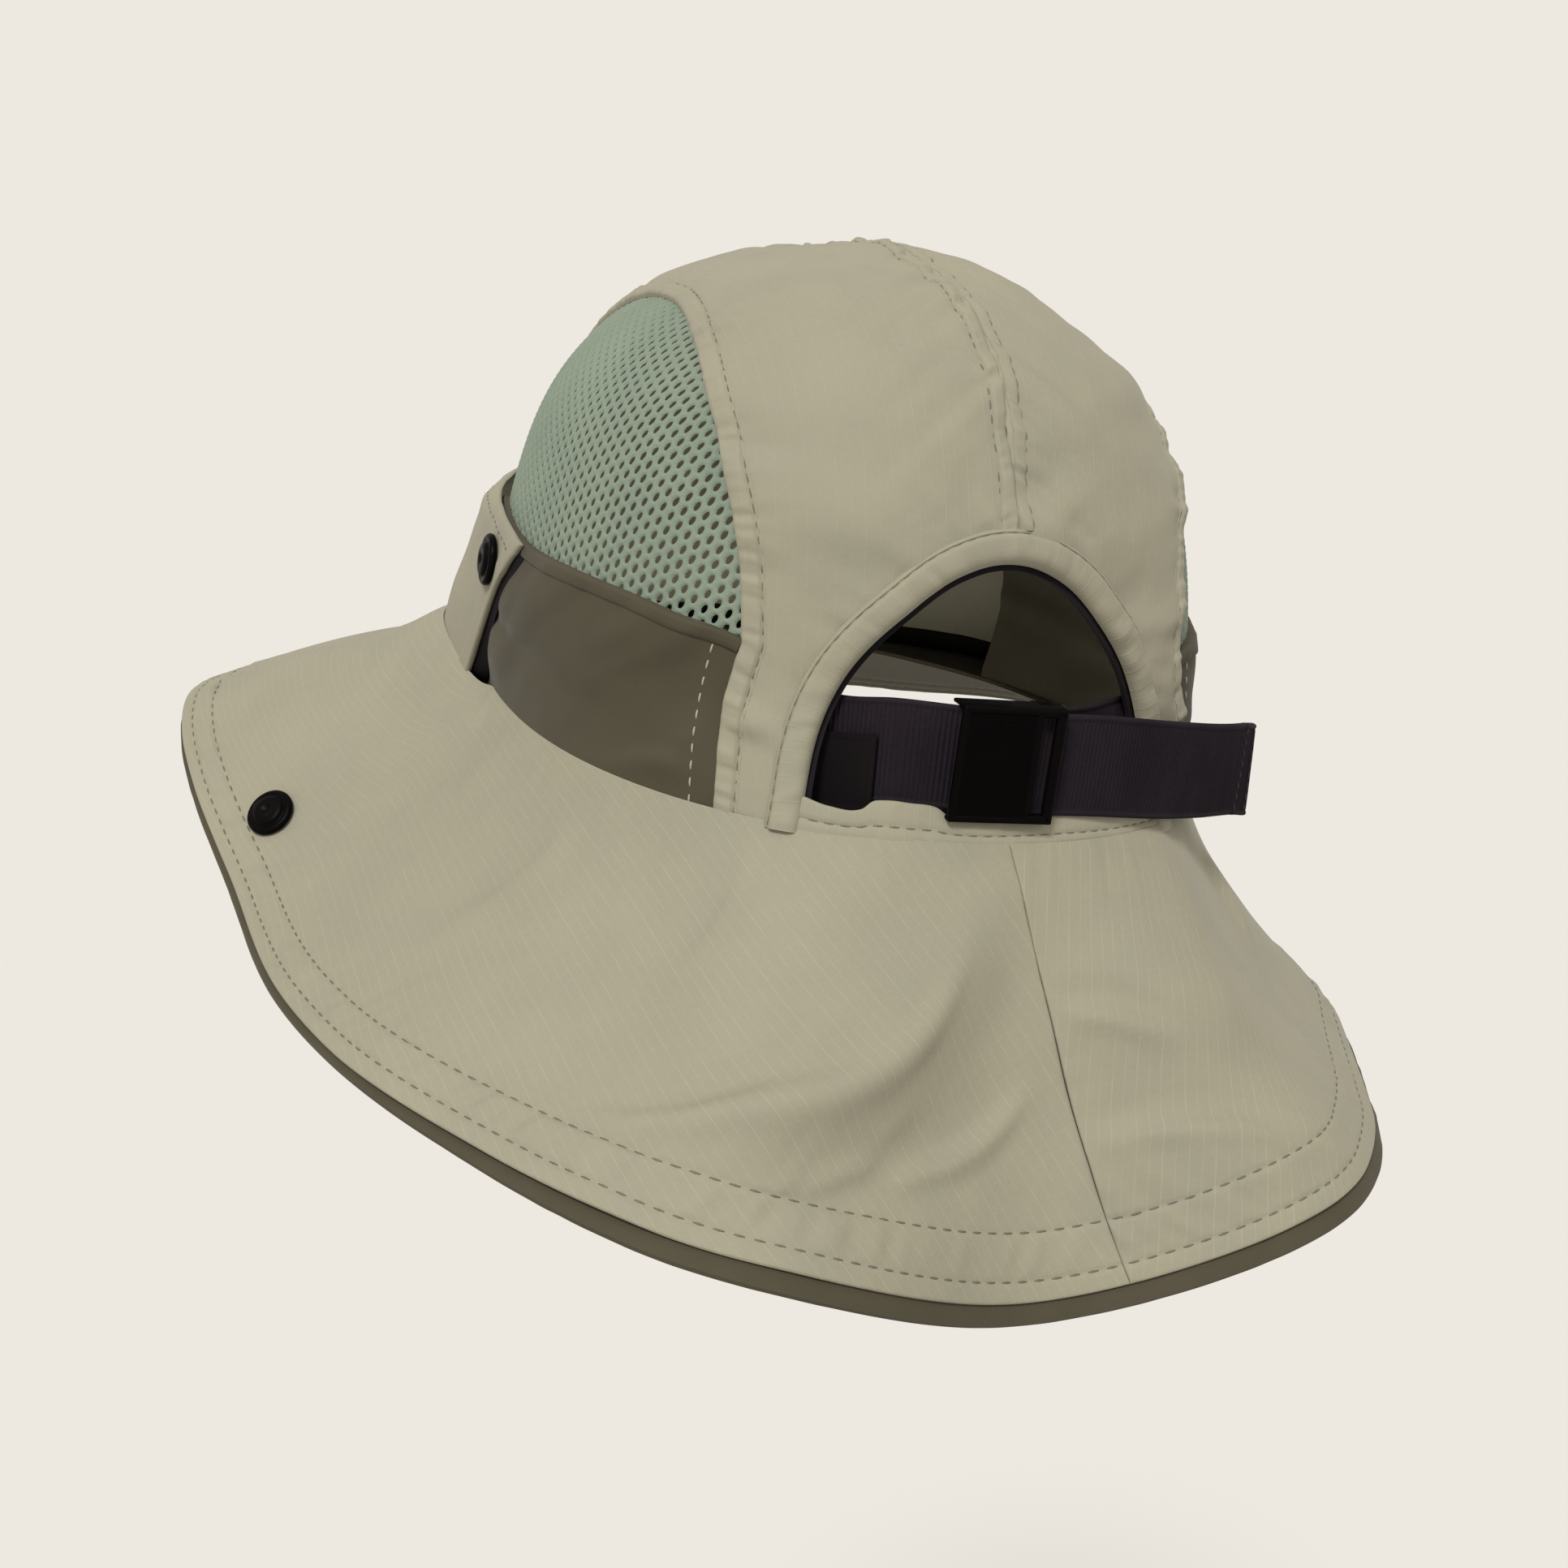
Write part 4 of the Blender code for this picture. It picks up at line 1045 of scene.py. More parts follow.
def bandFootHeight(angle):
    return band["footHeight"] * bandRow(angle, 2)


def bandFront(angle):
    return ease(np.abs(angle), band["slitAngle"] - band["riseSpan"], band["slitAngle"])


def topShare(angle, share):
    run = np.linalg.norm((brimEdge(angle) - brimRoot(angle))[:, :2], axis=1)
    inner = bandStandOff(angle) * band["section"][0][1] / run * bandFront(angle)
    return inner + (1 - inner) * share


def topCloth(angle, share):
    angle = np.asarray(angle, float).ravel()
    share = np.broadcast_to(np.asarray(share, float).ravel(), angle.shape)
    low = brimPoint(angle, topShare(angle, share), brim["plyGap"] / 2)
    foot = brimPoint(angle, topShare(angle, np.zeros(len(angle))), brim["plyGap"] / 2)
    rise = (bandFootHeight(angle) - foot[:, 2]) * bandFront(angle)
    low[:, 2] += rise * (1 - ease(share, *band["liftSpan"])) / (1 - ease(0.0, *band["liftSpan"]))
    return low


def bandCloth(footAngle, share):
    footAngle = np.asarray(footAngle, float).ravel()
    share = np.asarray(share, float).ravel()
    away = np.abs(footAngle)
    slant = (band["slitAngle"] - band["topAngle"]) * (180 - away) / (180 - band["slitAngle"])
    angle = away - slant * share
    low = bandFootHeight(away)
    height = low + (bandRow(angle, 0) * hat["height"] - low) * share
    stand = readTable(band["section"], share)[:, 0] * bandStandOff(angle) + band["clearance"] * share
    return onCrown(place(np.where(footAngle < 0, -angle, angle), height / hat["height"]), stand)


def hemShare(angle):
    hem = brim["hem"] + (brim["sideHem"] - brim["hem"]) * ease(np.abs(angle), 20, 70)
    return 1 - hem / brimWidth(angle)


# how far the ripstop lines turn on the left and the right half, in degrees
grainTurn = {1: 30.0, -1: -5.0}


def grainPlane(angle, share, side):
    # the flat cloth's own directions: first across the ripstop lines, then along them
    ray = 0.15 + share * 0.096
    turn = np.radians(angle) * 0.62 + math.radians(grainTurn[side])
    return np.stack([ray * np.sin(turn), ray * np.cos(turn)], axis=-1)


# rows of the upper cloth: steps past each stitch line, shares of the way between the two lines
# and steps from the edge
clothSteps = {
    "besideStitches": (0.0014, 0.0008, 0.0004, 0.0, -0.0004, -0.0008, -0.0014),
    "between": (0.16, 0.33, 0.5, 0.67, 0.84),
    "fromEdge": (0.0011, 0.0006, 0.0003, 0.0001, 0.0),
}


def clothRows(width, inner, outer):
    # the rows as shares of the cloth's width, and the places of the two stitched ones
    beside = clothSteps["besideStitches"]
    last = beside[0]
    rows = [(1 - (inner + 0.0022) / width) * t for t in np.linspace(0, 1, brim["mainRows"])]
    rows[0] = np.full(len(width), -0.012)
    rows += [1 - (inner + step) / width for step in beside]
    rows += [1 - ((inner - last) * (1 - t) + (outer + last) * t) / width for t in clothSteps["between"]]
    rows += [1 - (outer + step) / width for step in beside]
    rows += [1 - step / width for step in clothSteps["fromEdge"]]
    middle = brim["mainRows"] + beside.index(0.0)
    return np.array(rows), middle, middle + len(beside) + len(clothSteps["between"])


# puckers of the hem: height, pitch, slant, seed and part, and the grooves under the stitches
hemPuckers = {
    "waves": [(0.00075, 0.0064, 0.55, 0, "inHem"), (0.00016, 0.0036, 0.3, 1, "inHem"),
              (0.00022, 0.0046, 0.2, 2, "atEdge"), (0.00060, 0.0068, 0.7, 3, "beyond")],
    "reach": 0.012,
    "hemLift": 0.00030,
    "groove": 0.00038,
    "grooveHalf": 0.00062,
}


def hemWaves(run, fromHem, inner, outer, seed):
    # puckers between and beside the two stitch lines, and the thicker hem itself
    where = {
        "inHem": np.sin(math.pi * np.clip((fromHem - outer) / (inner - outer), 0, 1)),
        "atEdge": ease(fromHem, outer, 0.0008) * ease(fromHem, 0.0, 0.001),
        "beyond": hump(np.clip(fromHem - inner, 0, None), 0, hemPuckers["reach"]) * (fromHem > inner),
    }
    lift = hemPuckers["hemLift"] * ease(fromHem, inner + 0.0006, inner - 0.0006)
    for height, pitch, slant, step, part in hemPuckers["waves"]:
        lift += height * waves(run, fromHem, pitch, slant, seed + step) * where[part]
    for line in (inner, outer):
        lift -= hemPuckers["groove"] * hump(fromHem, line, hemPuckers["grooveHalf"])
    return lift


def makeBrimTop(hand, side):
    piece = startPiece()
    near = brim["nearSeam"]
    angles = np.r_[near, np.linspace(1.2, 180, brim["columns"] - len(near))]
    outer, inner = readTable(hemStitches, angles).T
    width = brimWidth(angles) * (hemShare(angles) - topShare(angles, 0.0))
    rows, innerRow, outerRow = clothRows(width, inner, outer)
    ways = swung(angles * side, rows)
    shares = rows * hemShare(ways.ravel()).reshape(rows.shape)
    grid = topCloth(ways, shares).reshape(*rows.shape, 3)
    normal = gridNormals(grid, upward=True)
    run = np.broadcast_to(runOf(grid[-1]), rows.shape)
    fromHem = (1 - rows) * width
    fromRoot = np.clip(rows, 0, 1) * width
    fromSeam = np.broadcast_to(np.radians(angles) * 0.12, rows.shape)
    seed = brim["seeds"][side]
    lift = hemWaves(run, fromHem, inner, outer, seed)
    height, pitch, slant, reach = brim["seamPucker"]
    lift += height * waves(fromRoot, fromSeam, pitch, slant, seed + 5) * hump(fromSeam, 0, reach)
    height, pitch, slant, reach = brim["rootPucker"]
    atRoot = hump(fromRoot, 0, reach) * ease(fromRoot, 0, 0.002)
    lift += height * waves(run, fromRoot, pitch, slant, seed + 6) * atRoot
    for height, stretch, size, step in brim["softWaves"]:
        lift += height * softNoise(grid * np.array(stretch), size, seed + step)
    crease = creaseHeight(ways.ravel(), np.clip(rows, 0, 1).ravel()).reshape(rows.shape)
    lift += crease * ease(fromSeam, 0.0, 0.006) * ease(fromHem, 0.010, 0.018)
    lift = shallow(lift * ease(fromRoot, -0.001, 0.001), brim["hollowLimit"])
    thick = brim["cloth"] / 2
    half = np.minimum(rounded(fromHem, thick), 0.5 * thick + 0.5 * rounded(fromSeam, thick))
    face = raised(grid, normal, thick + lift + half)
    back = raised(grid, normal, thick + np.minimum(lift, 0.0002) - half)
    for sheet in (face, back):
        sheet[:, 0, 0] += side * brim["seamGap"]
        sheet[:, -1, 0] = 0
    addShell(piece, face, back, grainPlane(ways, shares, side), skip=4)
    for row in (innerRow, outerRow):
        addThread(piece, face[row, 2:-1], normal[row, 2:-1], brim["thread"])
    addFrontBand(piece, side)
    addSlitShadowSheet(piece, side)
    # the dark tape finish here is the painted shadow in the band's slit
    makePiece(piece, "brimTop" + hand, "brim_top_" + hand.lower(), "khaki_ripstop",
              "ripstop", "thread", "tape")


def addFrontBand(piece, side):
    # the front band's standing cloth, with its free rear edge folded and stitched
    near = band["nearEdge"]
    feet = band["slitAngle"] + np.r_[near, np.linspace(1.1, 180 - band["slitAngle"], band["columns"])]
    rise = np.r_[-0.02, np.linspace(0.02, 0.93, 34), 0.955, 0.97, 0.985, 0.995, 1.0]
    foot, share = np.meshgrid(feet * side, rise)
    grid = bandCloth(foot, np.clip(share, 0, 1)).reshape(*foot.shape, 3)
    # the foot reaches down behind the brim's root, further towards the front
    grid[0, :, 2] -= 0.0012 + 0.0024 * ease(feet, 112, 124)
    normal = gridNormals(grid)
    run = np.broadcast_to(runOf(grid[20]), foot.shape)
    fromEdge = np.linalg.norm(grid - grid[:, :1], axis=2)
    fromTop = (1 - share) * np.linalg.norm(grid[-1] - grid[0], axis=1)
    lift = 0.0010 * waves(fromEdge + 0.02, fromTop, 0.014, 0.5, 91)
    lift *= ease(fromEdge, 0.0, 0.012) * ease(fromTop, 0.0, 0.01) * (0.35 + 0.65 * ease(fromEdge, 0.07, 0.02))
    lift += 0.00030 * waves(run, fromTop, 0.006, 0.3, 92) * hump(fromTop, 0.004, 0.006)
    lift -= 0.0003 * hump(fromTop, band["stitchDepth"], 0.0006)
    half = np.minimum(rounded(fromTop, 0.0006), rounded(fromEdge, 0.0006))
    fold = 0.00035 * ease(fromEdge, 0.007, 0.006)
    face = raised(grid, normal, 0.00055 + lift + half + fold)
    back = raised(grid, normal, 0.00055 + lift - half)
    face[:, -1, 0] = back[:, -1, 0] = 0
    addShell(piece, face, back, np.stack([run, fromTop], axis=-1))
    stitched = int(np.argmin(np.abs(fromTop[:, 60] - band["stitchDepth"])))
    addThread(piece, face[stitched, 4:], normal[stitched, 4:], brim["thread"])


def addSlitShadowSheet(piece, side):
    # a dark sheet between the band's free edge and the crown: painted shadow for the deep shade inside the
    # slit
    share = np.linspace(0, 1, 60)
    edge = bandCloth(np.full(60, band["slitAngle"] * side), share)
    angle = band["slitAngle"] - (band["slitAngle"] - band["topAngle"]) * share
    low = bandFootHeight(angle)
    height = (low + (bandRow(angle, 0) * hat["height"] - low) * share) / hat["height"]
    foot = onCrown(place((angle - 1.6) * side, height), 0.0016)
    inner = onCrown(place((angle + 1.5) * side, height), 0.0014)
    face = between(edge + (inner - edge) * 0.1, foot, [0, 0.3, 0.6, 0.85, 1.0])
    # finish 2 is the dark tape finish, used here as painted shadow
    addShell(piece, face, face + (inner - foot) * 0.25, finish=2)


underBrim = {
    "columns": 620,
    "mainRows": 30,
    "besideStitch": 0.0006,
    "lipStart": 0.0012,
    # the rolled lip's rows, as shares of the hem and then as distances from the edge
    "lipShares": [0.85, 0.65, 0.45, 0.28],
    "lipSteps": [0.0004, 0.0002, 0.00006, 0.0],
    "thread": {"pitch": 0.0039, "fill": 0.66, "thick": 0.00018, "lift": 0.15},
}


def underRows(angles, hem, inner, outer):
    # rows of the under cloth as shares of its width, with the places of its stitched rows
    width = brimWidth(angles)
    step = underBrim["besideStitch"]
    deepest = hem + inner
    rows = [(1 - (deepest + 0.0016) / width) * t for t in np.linspace(0, 1, underBrim["mainRows"])]
    rows[0] = np.full(len(angles), -0.008)
    lines = [deepest + step, deepest, deepest - step, hem + inner * 0.5 + outer * 0.5]
    lines += [hem + outer + step, hem + outer, hem + outer - step, hem + underBrim["lipStart"], hem + 0.0004]
    lines += [hem * share for share in underBrim["lipShares"]]
    lines += [np.full(len(angles), left) for left in underBrim["lipSteps"]]
    return (np.array(rows + [1 - line / width for line in lines]),
            (underBrim["mainRows"] + 1, underBrim["mainRows"] + 5))


def makeBrimUnder():
    piece = startPiece()
    angles = np.linspace(-180, 180, underBrim["columns"], endpoint=False)
    hem = (1 - hemShare(angles)) * brimWidth(angles)
    outer, inner = readTable(hemStitches, np.abs(angles)).T
    rows, stitched = underRows(angles, hem, inner, outer)
    ways = swung(np.broadcast_to(angles, rows.shape), rows)
    grid = brimPoint(ways, rows.ravel()).reshape(*rows.shape, 3)
    normal = gridNormals(grid, upward=True)
    normal[:, [0, -1]] = normal[:, [1, -2]]
    fromEdge = (1 - rows) * brimWidth(angles)
    run = np.broadcast_to(runOf(grid[-1]), rows.shape)
    lip = ease(fromEdge, hem + 0.0006, hem * 0.6)
    soft = 0.0006 * softNoise(grid, 0.03, 77) - 0.0003
    ripple = 0.00025 * waves(run, fromEdge, 0.008, 0.3, 78)
    middle = -0.00085 + (0.00055 + ripple) * lip
    half = (0.00045 + 0.00035 * lip) * rounded(fromEdge, 0.0008) / 0.0008
    pinch = 0.00035 * (hump(fromEdge, hem + inner, 0.0007) + hump(fromEdge, hem + outer, 0.0007))
    face = raised(grid, normal, middle + half)
    back = raised(grid, normal, middle - half + np.minimum(soft, 0) * (1 - lip) + pinch)
    addShell(piece, back[::-1], face[::-1], grainPlane(ways, rows, 1)[::-1], closed=True, skip=3)
    for row in stitched:
        addThread(piece, back[row], -normal[row], underBrim["thread"])
    makePiece(piece, "brimUnder", "brim_under", "brown_cloth", "brown", "thread")


# The brown side panels

sidePanel = {
    "frontAngle": 118.0,
    "tuck": 0.0030,
    "face": 0.0011,
    "edgeFace": -0.0001,
    "thickness": 0.0008,
    "hollowLimit": 0.0008,
    "counts": (130, 56),
    "thread": {"pitch": 0.0034, "fill": 0.6, "thick": 0.00021, "lift": 0.45},
    "stitchFrom": 0.0055,
    "rimWidth": 0.0027,
    "rimLift": 0.0007,
    "rimShape": [-0.9, 0.1, 0.7, 1.0, 1.0, 0.95, 0.85, 0.5, 0.0, -0.9],
    "rimRipple": [(0.00012, 0.006, 0.2, 66)],
}


def sideFace(points, rear):
    # how far out the brown cloth stands, with soft folds that climb towards the rear
    x, y, z = np.moveaxis(points, -1, 0)
    away = nearSeam(points, rear)[0]
    turned = np.stack([x * 0.3, (y * 0.8 + z * 0.6) * 0.35, (z * 0.8 - y * 0.6) * 1.3], axis=-1)
    fold = softNoise(turned, 0.016, 61) * 0.0024 + softNoise(turned, 0.007, 62) * 0.0007
    fold -= 0.0011 * hump(z + 0.12 * (y - 0.05), 0.012, 0.0028)
    fold *= ease(away, 0.002, 0.012) * ease(z, 0.0, 0.010)
    rise = (sidePanel["face"] - sidePanel["edgeFace"]) * ease(away, 0.0, 0.006)
    return sidePanel["edgeFace"] + rise + shallow(fold, sidePanel["hollowLimit"])


def sideTop(count):
    return seamSpots([row for row in meshFootSeam if row[0] <= sidePanel["frontAngle"]], count)


def makeSidePanel(hand, side):
    piece = startPiece()
    long, tall = sidePanel["counts"]
    foot = place(np.linspace(crown["rearAngle"], sidePanel["frontAngle"], long), 0.0)
    spots = between(foot, sideTop(long), np.linspace(0, 1, tall))
    tucked = widen(spots[:, 0], -sidePanel["tuck"])
    spots = np.concatenate([tucked[:, None], spots], axis=1)
    spots = np.concatenate([spots[:1] * crown["footReach"], spots], axis=0)
    base, normal = crownGrid(spots, side)
    rear = crownPoint(outerSeam(60, 60)[:60]) * np.array([side, 1, 1])
    lift = sideFace(base, rear)
    lift[:, 0] = sidePanel["edgeFace"]
    face = raised(base, normal, lift)
    back = raised(base, normal, lift - sidePanel["thickness"])
    addShell(piece, face, back, base[..., 1:], skip=3)
    addRim(piece, side, rear)
    seam = straight(place(crown["rearAngle"], 0), place(*meshTopSeam[0]), np.linspace(0.0, 0.96, 80))
    spot, out = crownGrid(widen(seam, sidePanel["stitchFrom"]), side)
    addThread(piece, raised(spot, out, sideFace(spot, rear)), out, sidePanel["thread"])
    makePiece(piece, "sidePanel" + hand, "side_" + hand.lower(), "brown_cloth", "brown", "paleThread")


def addRim(piece, side, rear):
    # the thick folded rim along the top of the brown panel
    seam = sideTop(220)
    width = sidePanel["rimWidth"]
    steps = np.array([-0.0007, -0.0006, -0.0004, 0.0, 0.0005, 0.0012, width - 0.0006, width - 0.0003, width,
                      width + 0.0003])
    base, normal = crownGrid(np.array([widen(seam, step) for step in steps]), side)
    run = np.broadcast_to(runOf(crownPoint(seam)), base.shape[:2])
    across = np.broadcast_to(steps[:, None], base.shape[:2])
    level = sideFace(base, rear) + sidePanel["rimLift"] * np.array(sidePanel["rimShape"])[:, None]
    level += wavesOf(run, across, sidePanel["rimRipple"])
    face = raised(base, normal, level)
    back = raised(base, normal, np.minimum(level, 0.0004) - 0.0011)
    addShell(piece, face, back, np.stack([run, across], axis=-1))


# The knitted mesh, a lattice of rounded strands round real holes

knit = {
    "across": 0.00285,
    "pitch": 0.00315,
    "columns": 38,
    "rows": 24,
    "holeWide": 0.00060,
    "holeTall": 0.00104,
    "tilt": 24.0,
    "level": -0.00055,
    "tuck": 0.0030,
    "selvedge": (0.0009, 0.0040),
    "strand": {"side": 0.00052, "cross": 0.00030, "knot": 0.00040},
    "backDepth": 0.00028,
    # rings from a strand's ridge to the hole and on to the back:
    # share of the way to the hole's edge, share of the strand's height, front or back
    "rings": [(0.48, 0.86, 1), (1.0, 0.30, 1), (1.13, 0.0, 1), (0.9, 0.60, -1)],
}


def inRegion(spots, ring):
    inside = np.zeros(len(spots), bool)
    for (x0, y0), (x1, y1) in zip(ring, np.roll(ring, -1, axis=0)):
        crosses = (y0 > spots[:, 1]) != (y1 > spots[:, 1])
        at = x0 + (spots[:, 1] - y0) * (x1 - x0) / (y1 - y0 if y1 != y0 else 1)
        inside ^= crosses & (spots[:, 0] < at)
    return inside


def knitTable():
    # how far round the crown each angle lies from the side's middle, at several levels
    levels = np.linspace(0.15, 0.97, 42)
    angles = np.linspace(20, 165, 290)
    runs = [runOf(crownPoint(place(angles, level))) for level in levels]
    return levels, angles, [run - np.interp(90, angles, run) for run in runs]


def knitSpots(flat, table):
    # from the knitted cloth laid flat to the crown, with its rows level
    levels, angles, runs = table
    shares = np.linspace(0.16, 0.96, 240)
    rise = runOf(crownPoint(place(np.full(240, 90.0), shares)))
    rise -= np.interp(0.55, shares, rise)
    share = np.interp(flat[:, 1], rise, shares)
    spot = (share - levels[0]) / (levels[1] - levels[0])
    row = np.clip(spot.astype(int), 0, len(levels) - 2)
    angle = np.zeros(len(flat))
    for k in np.unique(row):
        here = row == k
        low, high = (np.interp(flat[here, 0], runs[k + step], angles) for step in (0, 1))
        angle[here] = low + (high - low) * (spot[here] - k)
    return place(angle, share)


def knitCell():
    # a cell's outline, the heights of the strands on it and the hole inside it
    a = knit["across"] / 3
    b = knit["pitch"] / 2
    corners = np.array([(2 * a, 0), (a, b), (-a, b), (-2 * a, 0), (-a, -b), (a, -b)])
    middles = (corners + np.roll(corners, -1, axis=0)) / 2
    outline = np.stack([corners, middles], axis=1).reshape(-1, 2)
    heights = np.tile([knit["strand"][k] for k in ("knot", "side", "knot", "cross", "knot", "side")], 2)
    turn = np.arctan2(outline[:, 1], outline[:, 0]) - math.radians(90 + knit["tilt"])
    wide, tall = knit["holeWide"], knit["holeTall"]
    radius = tall * wide / np.hypot(wide * np.cos(turn), tall * np.sin(turn))
    return outline, heights, outline / np.linalg.norm(outline, axis=1)[:, None] * radius[:, None]


def knitCentres(table):
    # the cells that lie between the mesh's two seams
    low = widen(seamSpots(meshFootSeam, 60), knit["tuck"])
    high = widen(seamSpots(meshTopSeam, 90), -knit["tuck"])
    columns, rows = np.meshgrid(np.arange(-knit["columns"], knit["columns"] + 1),
                                np.arange(-knit["rows"], knit["rows"] + 1), indexing="ij")
    centres = np.column_stack([columns.ravel() * knit["across"],
                               (rows.ravel() + (columns.ravel() % 2) / 2) * knit["pitch"]])
    return centres[inRegion(knitSpots(centres, table), np.vstack([low, high[::-1]]))]


def knitFaces(shared, count, side):
    # faces from ring to ring round each hole, and along the net's outer border
    cells, points = shared.shape
    size = cells * points
    ids = [2 * count + k * size + np.arange(size).reshape(cells, points) for k in range(len(knit["rings"]))]
    ids = [shared] + ids + [shared + count]
    groups = []
    for inner, outer in zip(ids, ids[1:]):
        corners = (inner, np.roll(inner, -1, axis=1), np.roll(outer, -1, axis=1), outer)
        groups.append(np.stack(corners, axis=-1).reshape(-1, 4))
    pairs = np.stack([shared, np.roll(shared, -1, axis=1)], axis=-1).reshape(-1, 2)
    spot, times = np.unique(np.sort(pairs, axis=1), axis=0, return_index=True, return_counts=True)[1:]
    start, end = pairs[np.sort(spot[times == 1])].T
    groups.append(np.stack([end, start, start + count, end + count], axis=-1))
    return groups if side > 0 else [group[:, ::-1] for group in groups]


def makeMesh(hand, side):
    piece = startPiece()
    table = knitTable()
    centres = knitCentres(table)
    outline, heights, hole = knitCell()
    cells, points = len(centres), len(outline)
    edge = (centres[:, None] + outline[None]).reshape(-1, 2)
    first, shared = np.unique(np.round(edge / 1e-6).astype(int), axis=0, return_index=True,
                              return_inverse=True)[1:]
    vary = softNoise(centres, 0.004, 81)[:, None] * 0.12 + 1 + 0.16 * ease(centres[:, :1], 0.0, -0.07)
    flats = [edge[first], edge[first]]
    levels = [np.tile(heights, cells)[first], np.full(len(first), -knit["backDepth"])]
    for mix, height, sign in knit["rings"]:
        flat = outline[None] * (1 - min(mix, 1)) + hole[None] * min(mix, 1) / max(mix, 1) * vary[..., None]
        tall = heights if sign > 0 else np.full(points, knit["backDepth"])
        flats.append((centres[:, None] + flat).reshape(-1, 2))
        levels.append(np.tile(sign * height * tall, cells))
    flat = np.vstack(flats)
    base, normal = crownGrid(knitSpots(flat, table), side)
    verts = raised(base, normal, knit["level"] + np.concatenate(levels))
    addPart(piece, verts, knitFaces(shared.reshape(cells, points), len(first), side), flat)
    addSelvedge(piece, side)
    makePiece(piece, "meshPanel" + hand, "mesh_" + hand.lower(), "side_mesh", "mesh", sharp=60)


def addSelvedge(piece, side):
    # the plain edge of the mesh, turned in under both seams
    shape = np.array([0.0, 1.0, 1.0, 1.0, 0.0])[:, None]
    for seam, sign in ((seamSpots(meshFootSeam, 140), 1), (seamSpots(meshTopSeam, 240), -1)):
        base, normal = crownGrid(np.array([widen(seam, sign * step)
                                           for step in np.linspace(*knit["selvedge"], len(shape))]), side)
        face = raised(base, normal, -0.00060 + 0.00035 * shape)
        back = raised(base, normal, -0.00060 - 0.00045 * shape)
        addShell(piece, face, back, base[..., 1:])


# The khaki band below the rear opening

rearBand = {
    "halfAngle": 29.0,
    "columns": 260,
    # angle and height
    "top": [(-29, 0.0054), (-20, 0.0055), (-13, 0.0054), (-6.5, 0.0053), (-4.5, 0.0050), (8, 0.0051),
            (9.5, 0.0064), (13, 0.0069), (17.5, 0.0070), (18.8, 0.0066), (20.2, 0.0050), (25, 0.0048),
            (29, 0.0060)],
    "levels": [-0.024, 0.0, 0.12, 0.24, 0.30, 0.36, 0.5, 0.65, 0.8, 0.9, 0.96, 0.99, 1.0],
    "stitchRow": 4,
    "middle": 0.00095,
    "half": 0.00055,
    "ripple": [(0.00022, 0.005, 0.3, 95)],
    "thread": {"pitch": 0.0033, "fill": 0.7, "thick": 0.00019, "lift": 0.3},
}


def makeRearBand():
    piece = startPiece()
    stitched = rearBand["stitchRow"]
    angles = np.linspace(-rearBand["halfAngle"], rearBand["halfAngle"], rearBand["columns"])
    top = readTable(rearBand["top"], angles)[:, 0] / hat["height"]
    spots = np.array([place(angles * (1 - top * 0.72 * max(t, 0)), top * t if t > 0 else np.full(len(top), t))
                      for t in rearBand["levels"]])
    base, normal = crownGrid(spots)
    run, up = runAcross(base, rearBand["levels"], 1)
    body = rearBand["half"] * np.sqrt(np.clip(1 - np.clip((up - 0.86) / 0.14, 0, 1)**2, 0, 1))
    lift = wavesOf(run, up * 0.005, rearBand["ripple"])
    lift -= 0.00035 * hump(up, rearBand["levels"][stitched], 0.07)
    face = raised(base, normal, rearBand["middle"] + lift + body)
    back = raised(base, normal, rearBand["middle"] - body)
    addShell(piece, face, back, np.stack([run, up * 0.005], axis=-1))
    addThread(piece, face[stitched, 4:-4], normal[stitched, 4:-4], rearBand["thread"])
    makePiece(piece, "rearBand", "rear_band", "khaki_cloth", "khaki", "thread")


# The webbing strap, its stub, the label and the buckle

strap = {
    "width": 0.022,
    "thickness": 0.0014,
    "foot": 0.0075,
    "tipDrop": 0.0120,
    "ribPitch": 0.00105,
    "ribHeight": 0.00018,
    "endFold": 0.0085,
    "steps": 640,
    "stitchColumns": (-12, -38),
    "across": [0, 0.006, 0.018, 0.034, 0.05, 0.064, 0.08, 0.3, 0.5, 0.7, 0.92, 0.936, 0.95, 0.966, 0.982,
               0.994, 1.0],
    "thread": {"pitch": 0.0024, "fill": 0.7, "thick": 0.00018, "lift": 0.3},
}

# angle, stand-off from the crown, share of the tip's drop, lean with the crown's wall
strapWay = [(36, -0.0046, 0, 0.6), (29, -0.0062, 0.05, 0.45), (22.5, -0.0048, 0.14, 0.32),
            (15, 0.0010, 0.16, 0.26), (9, 0.0042, 0.24, 0.14), (1.8, 0.0064, 0.34, 0),
            (-12, 0.0072, 0.44, 0.06), (-23, 0.0082, 0.60, 0.10), (-35, 0.0113, 0.80, 0),
            (-44, 0.0148, 0.92, 0.1), (-48, 0.0166, 1.0, 0.5)]
stubWay = [(-36, -0.0046, 0, 1), (-30, -0.0046, 0, 1), (-24, -0.0046, 0, 1)]

buckle = {
    "width": 0.0231,
    "height": 0.0246,
    "plate": 0.0018,
    "angle": 1.8,
    "slot": 0.0030,
    "slotHeight": 0.0205,
    "bar": 0.0024,
    "fit": 0.0004,
    "stubBar": 0.0016,
    "stubThickness": 0.0012,
    "stubTail": 0.006,
    "stubClearance": 0.0013,
    "corner": 0.0009,
    "frame": 0.0016,
    "dimple": 0.00088,
    "dimpleHeight": 0.00022,
}

label = {
    "thickness": 0.0008,
    "height": 0.0164,
    "hangs": 0.0020,
    "angles": (24.0, 16.2),
    "frame": 0.0013,
    "weavePitch": 0.00062,
    "weaveHeight": 0.000035,
}


